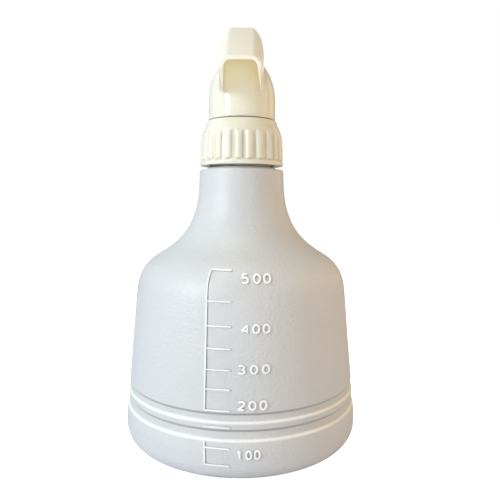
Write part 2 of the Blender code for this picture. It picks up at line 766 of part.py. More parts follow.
def shroud_station(y):
    """Top height, lower edge and half width of the shroud at a place along Y."""
    slope = TAIL_DROP / (TAIL_LENGTH - CREST_BACK)
    behind = -y - CREST_BACK
    fall = slope * (behind + math.hypot(behind, CREST_EASE)) / 2
    top = SHROUD_TOP - fall
    tail_low = SHROUD_TOP - TAIL_DROP - TAIL_LIP
    root_low = DOME_CENTRE + SHROUD_ROOT
    share = min(1.0, max(0.0, (-y - DOME_RADIUS) / (TAIL_LENGTH - DOME_RADIUS)))
    if y < -0.5 * DOME_RADIUS:
        low = root_low + (tail_low - root_low) * share
    else:
        reach = min(1.0, (y + 0.5 * DOME_RADIUS) / DOME_RADIUS)
        low = root_low + (PIVOT_Z + 0.0005 - root_low) * reach
    half = SHROUD_HALF_WIDTH - (SHROUD_HALF_WIDTH - TAIL_HALF_WIDTH) * share
    return top, low, half


def make_shroud():
    """The hood over the head: an inverted channel that slopes down to an open tail."""
    count = 26
    vertices = []
    sections = 0
    for i in range(count + 1):
        y = -TAIL_LENGTH + (TAIL_LENGTH + SHROUD_FRONT) * i / count
        top, low, half = shroud_station(y)
        drop = min(SHOULDER_DROP, 0.85 * (top - low))
        side = [(half, low), (half, (low + top - drop) / 2)]
        for k in range(6):
            angle = SHOULDER_BEND * k / 5
            out = (math.cos(angle) - math.cos(SHOULDER_BEND)) / (1 - math.cos(SHOULDER_BEND))
            up = math.sin(angle) / math.sin(SHOULDER_BEND)
            side.append((SHROUD_CROWN + (half - SHROUD_CROWN) * out, top - drop + drop * up))
        section = side + [(0, top)] + [(-x, z) for x, z in side[::-1]]
        sections = len(section)
        vertices += [(x, y, z) for x, z in section]
    faces = []
    for i in range(count):
        for k in range(sections - 1):
            a = i * sections + k
            faces.append((a, a + sections, a + sections + 1, a + 1))
    mesh = bpy.data.meshes.new("shroud")
    mesh.from_pydata(vertices, [], faces)
    shroud = place("shroud", mesh, CREAM, 0.3)
    shell = shroud.modifiers.new("wall", "SOLIDIFY")
    shell.thickness = SHROUD_WALL
    shell.offset = -1
    shell.use_even_offset = True
    room = dome_points(DOME_RADIUS + GAP, DOME_BOTTOM, DOME_RISE + GAP, DOME_CENTRE, 10)
    clearance = turned("dome_room", room + [(0, DOME_BOTTOM)], steps=40)
    cut(shroud, clearance)


def make_nozzle():
    """Outlet valve, swirl insert, threaded nozzle base, its seal ring and the knob that turns on it."""
    ball_y = VALVE_SEAT_Y + OUTLET_BALL + GAP
    ball = ball_mesh("outlet_ball", OUTLET_BALL, (0.75, 0.75, 0.74))
    ball.location = (0, ball_y, BARREL_AXIS)
    insert_back = BARREL_END - INSERT_LENGTH
    spring_back, spring_front = ball_y + OUTLET_BALL + GAP, insert_back - GAP
    coil("outlet_spring", OUTLET_COIL, OUTLET_WIRE, OUTLET_TURNS, spring_back, spring_front, BARREL_AXIS)
    insert_rod = rod_profile(BARREL_BORE - GAP, insert_back, TIP_END - 0.0004)
    insert = along_y(turned("swirl_insert", insert_rod, CREAM, 0.4, 20))
    insert.location.z = BARREL_AXIS
    for i in range(3):
        groove_box = box(f"swirl_groove_{i}", (0.0011, insert_back - 0.001, -0.0004), (0.003, TIP_END, 0.0004))
        groove_box.location.z = BARREL_AXIS
        groove_box.rotation_euler.y = math.radians(120 * i)
        cut(insert, groove_box)
    sleeve = BARREL_RADIUS + GAP
    root = sleeve + NOZZLE_WALL
    tip_bore = BARREL_BORE
    shoulder = BARREL_END + GAP
    outline = [
        (sleeve, NOZZLE_BACK),
        (sleeve, shoulder),
        (tip_bore, shoulder),
        (tip_bore, TIP_END),
        (NOZZLE_TIP, TIP_END),
        (NOZZLE_TIP, NOZZLE_FACE - 0.0012),
        (root, NOZZLE_FACE - 0.0012),
        (root, NOZZLE_BACK + NOZZLE_RIM),
        (root + NOZZLE_THREAD, NOZZLE_BACK + NOZZLE_RIM),
        (root + NOZZLE_THREAD, NOZZLE_BACK),
    ]
    base = along_y(turned("nozzle_base", outline, CREAM, 0.35, 24))
    base.location.z = BARREL_AXIS
    start = NOZZLE_BACK + NOZZLE_THREAD_START
    crest = root + NOZZLE_THREAD
    width = NOZZLE_THREAD_WIDTH
    thread = along_y(helical_ridge("nozzle_thread", root - GAP, crest, width, NOZZLE_PITCH, 2, start, 16))
    thread.location.z = BARREL_AXIS
    join(base, thread)
    ring_y = NOZZLE_FACE + 0.0004
    ring_outer = NOZZLE_TIP + GAP + RING_SECTION
    ring_tube = tube_profile(ring_outer, NOZZLE_TIP + GAP, ring_y, ring_y + RING_SECTION)
    ring = along_y(turned("nozzle_ring", ring_tube, (0.12, 0.12, 0.12), 0.6, 24))
    ring.location.z = BARREL_AXIS
    make_knob(root, ring_y, ring_outer)


def make_knob(root, ring_y, ring_outer):
    """The square nozzle knob with rounded corners, threaded inside, with the spray orifice in its face."""
    back = NOZZLE_BACK + NOZZLE_RIM + GAP
    front = back + KNOB_LENGTH
    mesh = bpy.data.meshes.new("nozzle_knob")
    shape = bmesh.new()
    flat = KNOB_HALF_WIDTH - KNOB_CORNER
    rim = []
    for quarter in range(4):
        centre_angle = math.pi / 2 * quarter + math.pi / 4
        centre = (math.copysign(flat, math.cos(centre_angle)), math.copysign(flat, math.sin(centre_angle)))
        rim += arc(centre, KNOB_CORNER, 90 * quarter, 90 * quarter + 90, 5)
    rings = []
    edge = KNOB_CHAMFER
    for inset_by, z in ((edge / 2, back), (0, back + edge / 2), (0, front - edge), (edge, front)):
        scale = 1 - inset_by / KNOB_HALF_WIDTH
        rings.append([shape.verts.new((x * scale, y * scale, z)) for x, y in rim])
    for lower, upper in zip(rings, rings[1:]):
        for k in range(len(rim)):
            j = (k + 1) % len(rim)
            shape.faces.new((lower[k], lower[j], upper[j], upper[k]))
    shape.faces.new(rings[0][::-1])
    shape.faces.new(rings[-1])
    shape.to_mesh(mesh)
    shape.free()
    knob = along_y(place("nozzle_knob", mesh, CREAM, 0.3))
    knob.location.z = BARREL_AXIS
    crest = root + GAP
    inner_root = root + NOZZLE_THREAD + GAP
    face = TIP_END + 0.0006
    outline = [
        (0, face),
        (NOZZLE_TIP + GAP, face),
        (NOZZLE_TIP + GAP, ring_y + RING_SECTION + GAP),
        (ring_outer + GAP, ring_y + RING_SECTION + GAP),
        (ring_outer + GAP, ring_y - GAP),
        (NOZZLE_TIP + GAP, ring_y - GAP),
        (NOZZLE_TIP + GAP, NOZZLE_FACE - 0.0006),
        (inner_root, NOZZLE_FACE - 0.0006),
        (inner_root, back - 0.001),
        (0, back - 0.001),
    ]
    hollow = along_y(turned("knob_hollow", outline, steps=24))
    hollow.location.z = BARREL_AXIS
    orifice = along_y(turned("orifice", rod_profile(ORIFICE, face - 0.001, front + 0.001), steps=10))
    orifice.location.z = BARREL_AXIS
    cut(knob, hollow, orifice)
    start = NOZZLE_BACK + NOZZLE_THREAD_START + NOZZLE_PITCH / 2
    width = NOZZLE_THREAD_WIDTH
    thread = along_y(helical_ridge("knob_thread", inner_root + GAP, crest, width, NOZZLE_PITCH, 1.5, start, 16))
    thread.location.z = BARREL_AXIS
    join(knob, thread)


clear_scene()
make_bottle()
make_cap()
make_tube_parts()
make_pump_body()
make_piston()
make_trigger()
make_shroud()
make_nozzle()
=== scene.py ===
"""The finished look of a graduated trigger spray bottle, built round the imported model."""

import json
import math

import bmesh
import bpy
import numpy as np
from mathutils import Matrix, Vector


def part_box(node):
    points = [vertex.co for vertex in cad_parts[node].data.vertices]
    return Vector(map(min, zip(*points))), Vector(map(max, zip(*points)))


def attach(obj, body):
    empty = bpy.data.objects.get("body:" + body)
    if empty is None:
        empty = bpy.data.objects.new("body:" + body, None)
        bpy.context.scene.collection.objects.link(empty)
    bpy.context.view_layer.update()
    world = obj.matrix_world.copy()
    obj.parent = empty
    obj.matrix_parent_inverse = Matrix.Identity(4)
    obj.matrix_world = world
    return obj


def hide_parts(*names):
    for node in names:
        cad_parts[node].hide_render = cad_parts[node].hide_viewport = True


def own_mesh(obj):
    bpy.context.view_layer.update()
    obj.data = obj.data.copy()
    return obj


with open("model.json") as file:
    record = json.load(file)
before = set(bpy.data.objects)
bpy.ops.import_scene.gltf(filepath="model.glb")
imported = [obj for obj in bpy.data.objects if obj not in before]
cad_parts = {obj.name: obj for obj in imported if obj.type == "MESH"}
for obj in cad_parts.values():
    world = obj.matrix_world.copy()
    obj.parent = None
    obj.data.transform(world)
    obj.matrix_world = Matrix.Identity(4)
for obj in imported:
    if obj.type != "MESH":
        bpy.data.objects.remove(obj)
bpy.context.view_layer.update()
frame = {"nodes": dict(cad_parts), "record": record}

# Camera, floor and light.
# The viewer stands behind the sprayer, a little over the middle of the bottle, and looks slightly down at it.
# Six soft boxes light it: cool daylight from the left, a warm wall's light from the right, and four fills.
# To the eye the room and the floor are plain white; every other ray meets their real tones.
camera = bpy.data.objects.new("camera", bpy.data.cameras.new("camera"))
bpy.context.scene.collection.objects.link(camera)
bpy.context.scene.camera = camera
camera.data.sensor_width = 36.0
camera.data.lens = 38.11
camera.data.clip_start = 0.01
look_down, roll = math.radians(5.13), 0.0051
camera.location = (0.00387, -0.23603, 0.10369)
camera.rotation_euler = (math.pi / 2 - look_down, 0, 0)
camera.rotation_euler.rotate_axis("Z", roll)

floor_mesh = bpy.data.meshes.new("floor")
floor_reach = 3.0
corners = [(x * floor_reach, y * floor_reach, 0) for x, y in ((-1, -1), (1, -1), (1, 1), (-1, 1))]
floor_mesh.from_pydata(corners, [], [(0, 1, 2, 3)])
floor = bpy.data.objects.new("floor", floor_mesh)
bpy.context.scene.collection.objects.link(floor)
floor_paint = bpy.data.materials.new("floor_paint")
floor_paint.use_nodes = True
floor_shader = floor_paint.node_tree.nodes["Principled BSDF"]
floor_shader.inputs["Base Color"].default_value = (0.68, 0.71, 0.80, 1)
floor_shader.inputs["Roughness"].default_value = 0.9
floor_shader.inputs["Emission Color"].default_value = (1, 1, 1, 1)
looked_at = floor_paint.node_tree.nodes.new("ShaderNodeLightPath")
lift = floor_paint.node_tree.nodes.new("ShaderNodeMath")
lift.operation = "MULTIPLY"
lift.inputs[1].default_value = 1.0
floor_paint.node_tree.links.new(looked_at.outputs["Is Camera Ray"], lift.inputs[0])
floor_paint.node_tree.links.new(lift.outputs["Value"], floor_shader.inputs["Emission Strength"])
floor_mesh.materials.append(floor_paint)


def soft_box(name, place, aim, size, colour, watts):
    """A rectangular light at a place, turned to face a point."""
    data = bpy.data.lights.new(name, "AREA")
    data.shape = "RECTANGLE"
    data.size, data.size_y = size
    data.color = colour
    data.energy = watts
    light = bpy.data.objects.new(name, data)
    bpy.context.scene.collection.objects.link(light)
    light.location = place
    way = np.array(aim) - np.array(place)
    rise = math.atan2(way[2], math.hypot(way[0], way[1]))
    light.rotation_euler = (math.pi / 2 + rise, 0, math.atan2(way[1], way[0]) - math.pi / 2)
    return light


soft_box("window_left", (-0.52, -0.42, 0.33), (0, 0, 0.10), (0.16, 0.34), (0.90, 0.96, 1.0), 3.1)
soft_box("wall_right", (0.55, -0.06, 0.20), (0, 0, 0.10), (0.30, 0.50), (1.0, 0.67, 0.33), 1.05)
soft_box("ceiling", (-0.10, -0.10, 0.75), (0, 0, 0.10), (0.30, 0.30), (1.0, 0.99, 0.97), 1.2)
soft_box("front_fill", (0.06, -0.62, 0.03), (0, 0, 0.12), (0.30, 0.20), (1.0, 0.97, 0.92), 0.9)
soft_box("wall_behind", (0.50, 0.34, 0.24), (0, 0, 0.10), (0.30, 0.40), (1.0, 0.80, 0.58), 0.45)
soft_box("back_fill", (-0.05, 0.66, 0.40), (0, 0, 0.08), (0.40, 0.40), (0.98, 0.98, 1.0), 0.4)

world = bpy.data.worlds.new("studio")
bpy.context.scene.world = world
bpy.context.scene.view_settings.view_transform = "Standard"
world.use_nodes = True
sky = world.node_tree
sky.nodes.clear()
direction = sky.nodes.new("ShaderNodeTexCoord")
split = sky.nodes.new("ShaderNodeSeparateXYZ")
across = sky.nodes.new("ShaderNodeMapRange")
across.interpolation_type = "SMOOTHSTEP"
across.inputs["From Min"].default_value = -0.75
across.inputs["From Max"].default_value = 0.85
room = sky.nodes.new("ShaderNodeMix")
room.data_type = "RGBA"
room.inputs["A"].default_value = (0.46, 0.52, 0.58, 1)
room.inputs["B"].default_value = (0.28, 0.21, 0.13, 1)
seen = sky.nodes.new("ShaderNodeLightPath")
backdrop = sky.nodes.new("ShaderNodeMix")
backdrop.data_type = "RGBA"
backdrop.inputs["B"].default_value = (1, 1, 1, 1)
background = sky.nodes.new("ShaderNodeBackground")
sky_out = sky.nodes.new("ShaderNodeOutputWorld")
sky.links.new(direction.outputs["Generated"], split.inputs["Vector"])
sky.links.new(split.outputs["X"], across.inputs["Value"])
sky.links.new(across.outputs["Result"], room.inputs["Factor"])
sky.links.new(room.outputs["Result"], backdrop.inputs["A"])
sky.links.new(seen.outputs["Is Camera Ray"], backdrop.inputs["Factor"])
sky.links.new(backdrop.outputs["Result"], background.inputs["Color"])
sky.links.new(background.outputs["Background"], sky_out.inputs["Surface"])

# Bottle.
# A blow-moulded polyethylene bell, a profile turned about the axis, with two ring grooves, a ledge, a collar
# and a threaded neck. The mould's spark-eroded face leaves a fine leathery grain on it. The lower lip of each
# groove carries a pale band of painted highlight, and its upper crease a dark band of painted shade.


def moulded_surface():
    """Group: slow cloudiness in colour and gloss, and a fine pebbled height, over the vector given."""
    group = bpy.data.node_groups.new("moulded_surface", "ShaderNodeTree")
    group.interface.new_socket("Vector", in_out="INPUT", socket_type="NodeSocketVector")
    for label in ("Colour", "Deep Colour"):
        group.interface.new_socket(label, in_out="INPUT", socket_type="NodeSocketColor")
    numbers = {"Cloud Scale": 40.0, "Grain Scale": 1500.0, "Gloss": 0.4, "Gloss Spread": 0.1}
    for label, value in numbers.items():
        socket = group.interface.new_socket(label, in_out="INPUT", socket_type="NodeSocketFloat")
        socket.default_value = value
    group.interface.new_socket("Colour", in_out="OUTPUT", socket_type="NodeSocketColor")
    for label in ("Roughness", "Height"):
        group.interface.new_socket(label, in_out="OUTPUT", socket_type="NodeSocketFloat")
    take = group.nodes.new("NodeGroupInput")
    give = group.nodes.new("NodeGroupOutput")
    cloud = group.nodes.new("ShaderNodeTexNoise")
    cloud.inputs["Detail"].default_value = 3.0
    grain = group.nodes.new("ShaderNodeTexNoise")
    grain.inputs["Detail"].default_value = 2.0
    grain.inputs["Roughness"].default_value = 0.6
    tint = group.nodes.new("ShaderNodeMix")
    tint.data_type = "RGBA"
    gloss = group.nodes.new("ShaderNodeMath")
    gloss.operation = "MULTIPLY_ADD"
    link = group.links.new
    link(take.outputs["Vector"], cloud.inputs["Vector"])
    link(take.outputs["Cloud Scale"], cloud.inputs["Scale"])
    link(take.outputs["Vector"], grain.inputs["Vector"])
    link(take.outputs["Grain Scale"], grain.inputs["Scale"])
    link(cloud.outputs["Fac"], tint.inputs["Factor"])
    link(take.outputs["Colour"], tint.inputs["A"])
    link(take.outputs["Deep Colour"], tint.inputs["B"])
    link(cloud.outputs["Fac"], gloss.inputs[0])
    link(take.outputs["Gloss Spread"], gloss.inputs[1])
    link(take.outputs["Gloss"], gloss.inputs[2])
    link(tint.outputs["Result"], give.inputs["Colour"])
    link(gloss.outputs["Value"], give.inputs["Roughness"])
    link(grain.outputs["Fac"], give.inputs["Height"])
    return group


moulding = moulded_surface()


def moulded_plastic(name, colour, deep, gloss, grain_scale, grain_depth, glow=0.0, cloud_scale=40.0):
    """A moulded plastic's material: the shared surface group, a bump for its grain, and some light let in."""
    material = bpy.data.materials.new(name)
    material.use_nodes = True
    tree = material.node_tree
    shader = tree.nodes["Principled BSDF"]
    coordinates = tree.nodes.new("ShaderNodeTexCoord")
    surface = tree.nodes.new("ShaderNodeGroup")
    surface.node_tree = moulding
    surface.inputs["Colour"].default_value = (*colour, 1)
    surface.inputs["Deep Colour"].default_value = (*deep, 1)
    surface.inputs["Cloud Scale"].default_value = cloud_scale
    surface.inputs["Grain Scale"].default_value = grain_scale
    surface.inputs["Gloss"].default_value = gloss
    bump = tree.nodes.new("ShaderNodeBump")
    bump.inputs["Strength"].default_value = 0.6
    bump.inputs["Distance"].default_value = grain_depth
    tree.links.new(coordinates.outputs["Object"], surface.inputs["Vector"])
    tree.links.new(surface.outputs["Colour"], shader.inputs["Base Color"])
    tree.links.new(surface.outputs["Roughness"], shader.inputs["Roughness"])
    tree.links.new(surface.outputs["Height"], bump.inputs["Height"])
    tree.links.new(bump.outputs["Normal"], shader.inputs["Normal"])
    shader.inputs["Subsurface Weight"].default_value = glow
    shader.inputs["Subsurface Radius"].default_value = (1.0, 0.75, 0.35)
    shader.inputs["Subsurface Scale"].default_value = 0.0015
    return material


def skin(name, grid, loop=False, crease=35.0):
    """Mesh a grid whose columns close round. Its rows close too if loop is set, or else end in caps."""
    rows, columns = grid.shape[:2]
    index = np.arange(rows * columns).reshape(rows, columns)
    ends = [] if loop else [index[0, ::-1].tolist(), index[-1].tolist()]
    if loop:
        index = np.vstack([index, index[:1]])
    near, far = index[:-1], index[1:]
    quads = np.stack([near, np.roll(near, -1, 1), np.roll(far, -1, 1), far], -1).reshape(-1, 4)
    mesh = bpy.data.meshes.new(name)
    mesh.from_pydata(grid.reshape(-1, 3).tolist(), [], quads.tolist() + ends)
    shape = bmesh.new()
    shape.from_mesh(mesh)
    bmesh.ops.remove_doubles(shape, verts=shape.verts, dist=1e-7)
    bmesh.ops.recalc_face_normals(shape, faces=shape.faces)
    shape.to_mesh(mesh)
    shape.free()
    mesh.shade_smooth()
    mesh.set_sharp_from_angle(angle=math.radians(crease))
    piece = bpy.data.objects.new(name, mesh)
    bpy.context.scene.collection.objects.link(piece)
    return piece


def fit_out(piece, body, slot, material, *nodes):
    """Give a new piece its material and its body, and hide the CAD nodes that it stands for; slot is not
    used.
    """
    piece.data.materials.append(material)
    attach(piece, body)
    if nodes:
        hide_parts(*nodes)
    return piece


def softened(points, radius, steps=4):
    """Round each inner corner of an outline with a short parabola that starts and ends a radius from it."""
    points = np.array(points, float)
    out = [points[:1]]
    for before, corner, after in zip(points[:-2], points[1:-1], points[2:]):
        back, on = before - corner, after - corner
        reach = min(radius, 0.45 * np.linalg.norm(back), 0.45 * np.linalg.norm(on))
        start = corner + back / np.linalg.norm(back) * reach
        end = corner + on / np.linalg.norm(on) * reach
        t = np.linspace(0, 1, steps + 1)[:, None]
        out.append((1 - t) ** 2 * start + 2 * t * (1 - t) * corner + t**2 * end)
    out.append(points[-1:])
    return np.vstack(out)


def cubic(a, b, c, d, count):
    """Points along a cubic curve with two handles."""
    t = np.linspace(0, 1, count)[:, None]
    a, b, c, d = (np.array(p) for p in (a, b, c, d))
    return (1 - t) ** 3 * a + 3 * t * (1 - t) ** 2 * b + 3 * t**2 * (1 - t) * c + t**3 * d


def spin(profile, columns):
    """Turn (radius, height) points about Z: each row is one circle."""
    around = np.linspace(0, 2 * np.pi, columns, endpoint=False)
    radius, height = profile[:, :1], profile[:, 1:]
    return np.stack([radius * np.cos(around), radius * np.sin(around), height + 0 * around], -1)


low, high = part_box("bottle")
band_radius, neck_top = high.x, high.z
heel, base_ring, push_up = 0.008, 0.030, 0.0025
bottle_wall = 0.0012
ledge_z = neck_top - 0.0167
ledge_radius, collar_radius = 0.0183, 0.0149
collar_top = ledge_z + 0.0009
neck_radius, bore_radius = 0.0126, 0.0106
turn = np.linspace(-np.pi / 2, 0, 14)[:, None]
heel_arc = np.hstack([band_radius - heel + heel * np.cos(turn), heel + heel * np.sin(turn)])
grooves = softened(
    [
        (band_radius, 0.0090),
        (band_radius, 0.0125),
        (0.0503, 0.0166),
        (0.0491, 0.0178),
        (0.0489, 0.0199),
        (0.0497, 0.0210),
        (0.0498, 0.0230),
        (0.0487, 0.0243),
        (0.0485, 0.0260),
        (0.0493, 0.0270),
        (0.0476, 0.0460),
        (0.0459, 0.0650),
    ],
    0.00035,
)
shoulder = cubic((0.0458, 0.0650), (0.0453, 0.0770), (0.0384, 0.0800), (0.0335, 0.0831), 28)
throat = cubic((0.0335, 0.0831), (0.0270, 0.0873), (0.0190, 0.0946), (0.0186, 0.1110), 28)
outer_side = np.vstack([heel_arc, grooves[1:], shoulder[1:], throat[1:]])
shelf = softened(
    [
        tuple(outer_side[-1]),
        (ledge_radius, ledge_z - 0.0004),
        (ledge_radius - 0.0004, ledge_z),
        (collar_radius, ledge_z),
        (collar_radius, collar_top),
        (neck_radius, collar_top),
        (neck_radius, neck_top - 0.0005),
        (neck_radius - 0.0005, neck_top),
        (bore_radius, neck_top),
        (bore_radius, ledge_z - 0.0010),
    ],
    0.0009,
)
dish = np.linspace(0, 1, 12)[:, None]
underside = np.hstack([base_ring * dish, push_up * (0.5 + 0.5 * np.cos(np.pi * dish))])
plain_side = np.vstack([heel_arc, [(0.0487, 0.0200)], shoulder, throat])
run = np.gradient(plain_side, axis=0)
run /= np.linalg.norm(run, axis=1)[:, None]
inner_side = plain_side + bottle_wall * np.stack([-run[:, 1], run[:, 0]], -1)
inner_floor = underside + (0, bottle_wall)
outline = np.vstack([underside, outer_side, shelf[1:], inner_side[::-1], inner_floor[::-1]])
body_grid = spin(outline, 256)
sway = np.arctan2(body_grid[..., 1], body_grid[..., 0])
reach = np.hypot(body_grid[..., 0], body_grid[..., 1])
up = body_grid[..., 2]
on_body = (up > 0.027) & (up < 0.110)
ripple = 0.00005 * np.sin(3 * sway + 90 * up) + 0.00003 * np.sin(7 * sway - 160 * up)
stretch = 1 + np.where(on_body, ripple, 0) / np.maximum(reach, 0.01)
body_grid[..., :2] *= stretch[..., None]
white_plastic = moulded_plastic(
    "white_polyethylene", (0.64, 0.645, 0.635), (0.60, 0.605, 0.595), 0.33, 900.0, 0.0005, glow=0.05
)
white_shader = white_plastic.node_tree.nodes["Principled BSDF"]
white_shader.inputs["Subsurface Radius"].default_value = (1.0, 0.9, 0.8)
# Painted highlight and painted shade: pale and dark colour bands at the grooves' heights.
painted_highlight_tone, painted_shade_tone = (0.88, 0.89, 0.88), (0.38, 0.37, 0.35)
bands = (
    (0.0162, painted_highlight_tone, 0), (0.0169, painted_highlight_tone, 1), (0.0171, painted_highlight_tone, 1), (0.0176, painted_highlight_tone, 0),
    (0.0197, painted_shade_tone, 0), (0.0202, painted_shade_tone, 1), (0.0207, painted_shade_tone, 1), (0.0212, painted_shade_tone, 0),
    (0.0228, painted_highlight_tone, 0), (0.0234, painted_highlight_tone, 1), (0.0236, painted_highlight_tone, 1), (0.0241, painted_highlight_tone, 0),
    (0.0258, painted_shade_tone, 0), (0.0263, painted_shade_tone, 1), (0.0268, painted_shade_tone, 1), (0.0273, painted_shade_tone, 0),
)
band_foot, band_head = bands[0][0], bands[-1][0]
# The painted highlight and painted shade bands are a ramp over height, laid on the plain colour by the ramp's
# own cover.
marks = white_plastic.node_tree
place = marks.nodes.new("ShaderNodeTexCoord")
axes = marks.nodes.new("ShaderNodeSeparateXYZ")
climb = marks.nodes.new("ShaderNodeMapRange")
climb.inputs["From Min"].default_value = band_foot
climb.inputs["From Max"].default_value = band_head
ramp = marks.nodes.new("ShaderNodeValToRGB")
for z, colour, cover in bands:
    stop = (z - band_foot) / (band_head - band_foot)
    entries = ramp.color_ramp.elements
    entry = entries.new(stop) if 0 < stop < 1 else entries[0 if stop == 0 else -1]
    entry.color = (*colour, cover)
marked = marks.nodes.new("ShaderNodeMix")
marked.data_type = "RGBA"
marks.links.new(place.outputs["Object"], axes.inputs["Vector"])
marks.links.new(axes.outputs["Z"], climb.inputs["Value"])
marks.links.new(climb.outputs["Result"], ramp.inputs["Fac"])
marks.links.new(ramp.outputs["Alpha"], marked.inputs["Factor"])
marks.links.new(white_shader.inputs["Base Color"].links[0].from_socket, marked.inputs["A"])
marks.links.new(ramp.outputs["Color"], marked.inputs["B"])
marks.links.new(marked.outputs["Result"], white_shader.inputs["Base Color"])
bottle_shell = skin("bottle_shell", body_grid, crease=50)
fit_out(bottle_shell, "bottle", "bottle_pe", white_plastic, "bottle")


def thread_ridge(name, root, crest, width, pitch, turns, start):
    """A screw thread: a rounded trapezium carried up a right-hand helix, sunk into the wall at both ends."""
    steps = np.linspace(0, 1, int(96 * turns))[:, None]
    angle = 2 * np.pi * turns * steps
    fade = np.clip(np.minimum(steps, 1 - steps) * turns * 6, 0.12, 1)
    out = np.array([0, 0.5, 0.9, 1, 1, 0.9, 0.5, 0])
    up = np.array([-0.5, -0.4, -0.25, -0.12, 0.12, 0.25, 0.4, 0.5])
    radius = root + (crest - root) * fade * out
    height = start + pitch * turns * steps + width * up
    return skin(name, np.stack([radius * np.cos(angle), radius * np.sin(angle), height], -1))


thread_pitch, thread_turns, thread_width = 0.004233, 1.5, 0.0019
thread_start = neck_top - 0.0025 - thread_turns * thread_pitch
thread_root, thread_crest = neck_radius - 0.0003, neck_radius + 0.0011
neck_ridge = thread_ridge(
    "neck_ridge", thread_root, thread_crest, thread_width, thread_pitch, thread_turns, thread_start
)
fit_out(neck_ridge, "bottle", "bottle_pe", white_plastic)

# Scale.
# The graduation is part of the bottle's wall: a rule, a tick every 50 ml and plain numbers every 100 ml, all
# about 0.6 mm proud. Each stroke is a flat-topped bead carried along a line on the wall, with a smooth face,
# a painted highlight that makes it whiter than the wall, and painted shade at its foot.


def on_wall(across, up, lift):
    """A point on the bottle's back, at a distance across and a height, lifted off along the wall's slope."""
    radius = np.interp(up, outer_side[:, 1], outer_side[:, 0])
    steep = (np.interp(up + 0.0005, outer_side[:, 1], outer_side[:, 0]) - radius) / 0.0005
    tilt = np.arctan(-np.clip(steep, -3, 3))
    radius = radius + lift * np.cos(tilt)
    return np.stack([across, -np.sqrt(radius**2 - across**2), up + lift * np.sin(tilt)], -1)


def bead(line, width, rise):
    """A bead, half a super-ellipse, along (across, up) points; its ends are round unless the line closes."""
    line = np.array(line, float)
    steps = np.linalg.norm(np.diff(line, axis=0), axis=1)
    along = np.concatenate([[0], np.cumsum(steps)])
    count = max(10, int(along[-1] / 0.00018))
    ends = width / 2 * (1 - np.cos(np.linspace(0, np.pi / 2, 5)))
    between = np.linspace(width / 2, along[-1] - width / 2, count)
    spots = np.unique(np.concatenate([ends, between, along[-1] - ends]))
    centre = np.stack([np.interp(spots, along, line[:, k]) for k in (0, 1)], -1)
    way = np.gradient(centre, axis=0)
    closed = np.allclose(line[0], line[-1])
    if closed:
        way[0] = way[-1] = way[0] + way[-1]
    way /= np.linalg.norm(way, axis=1)[:, None]
    edge = np.full(len(spots), width) if closed else np.minimum(spots, along[-1] - spots)
    full = np.sqrt(np.clip(1 - (1 - np.minimum(edge / (width / 2), 1)) ** 2, 0.001, 1))[:, None]
    around = np.linspace(-0.35, np.pi + 0.35, 16)
    flatness, sink = 0.55, 0.00004
    side = width / 2 * full * np.sign(np.cos(around)) * np.abs(np.cos(around)) ** flatness
    lift = rise * full * np.sign(np.sin(around)) * np.abs(np.sin(around)) ** flatness - sink
    across = centre[:, :1] - way[:, 1:] * side
    up = centre[:, 1:] + way[:, :1] * side
    return on_wall(across, up, lift)


def beads(name, grids):
    """Join several beads into one piece; a bead whose last row meets its first is closed into a ring."""
    rings = [np.allclose(grid[0], grid[-1], atol=1e-8) for grid in grids]
    made = [skin(name, grid[: len(grid) - ring], loop=ring, crease=80) for grid, ring in zip(grids, rings)]
    shape = bmesh.new()
    for extra in made:
        shape.from_mesh(extra.data)
    shape.to_mesh(made[0].data)
    shape.free()
    for extra in made[1:]:
        bpy.data.objects.remove(extra)
    made[0].data.shade_smooth()
    made[0].name = name
    return made[0]


# The relief's paler colour is a painted highlight on the strokes' faces.
relief_painted_light = moulded_plastic(
    "relief_polyethylene_painted_light", (0.92, 0.93, 0.92), (0.88, 0.89, 0.88), 0.28, 1300.0, 0.00002, glow=0.05
)


def crease_shade():
    """Group: a colour that goes over to another where the surface is hemmed in, painted shade in creases."""
    group = bpy.data.node_groups.new("crease_shade", "ShaderNodeTree")
    for label in ("Colour", "Crease Colour"):
        group.interface.new_socket(label, in_out="INPUT", socket_type="NodeSocketColor")
    for label in ("Distance", "Closed", "Open"):
        group.interface.new_socket(label, in_out="INPUT", socket_type="NodeSocketFloat")
    group.interface.new_socket("Colour", in_out="OUTPUT", socket_type="NodeSocketColor")
    take = group.nodes.new("NodeGroupInput")
    give = group.nodes.new("NodeGroupOutput")
    nearness = group.nodes.new("ShaderNodeAmbientOcclusion")
    nearness.samples = 8
    clear = group.nodes.new("ShaderNodeMapRange")
    blend = group.nodes.new("ShaderNodeMix")
    blend.data_type = "RGBA"
    link = group.links.new
    link(take.outputs["Distance"], nearness.inputs["Distance"])
    link(nearness.outputs["AO"], clear.inputs["Value"])
    link(take.outputs["Closed"], clear.inputs["From Min"])
    link(take.outputs["Open"], clear.inputs["From Max"])
    link(clear.outputs["Result"], blend.inputs["Factor"])
    link(take.outputs["Crease Colour"], blend.inputs["A"])
    link(take.outputs["Colour"], blend.inputs["B"])
    link(blend.outputs["Result"], give.inputs["Colour"])
    return group


creases = crease_shade()


def shaded_creases(material, distance, closed, open_at, colour):
    """Put the crease group, which paints shade, between a material's surface group and its Base Color."""
    tree = material.node_tree
    paint = tree.nodes["Principled BSDF"].inputs["Base Color"]
    shade = tree.nodes.new("ShaderNodeGroup")
    shade.node_tree = creases
    shade.inputs["Crease Colour"].default_value = (*colour, 1)
    shade.inputs["Distance"].default_value = distance
    shade.inputs["Closed"].default_value = closed
    shade.inputs["Open"].default_value = open_at
    tree.links.new(paint.links[0].from_socket, shade.inputs["Colour"])
    tree.links.new(shade.outputs["Colour"], paint)


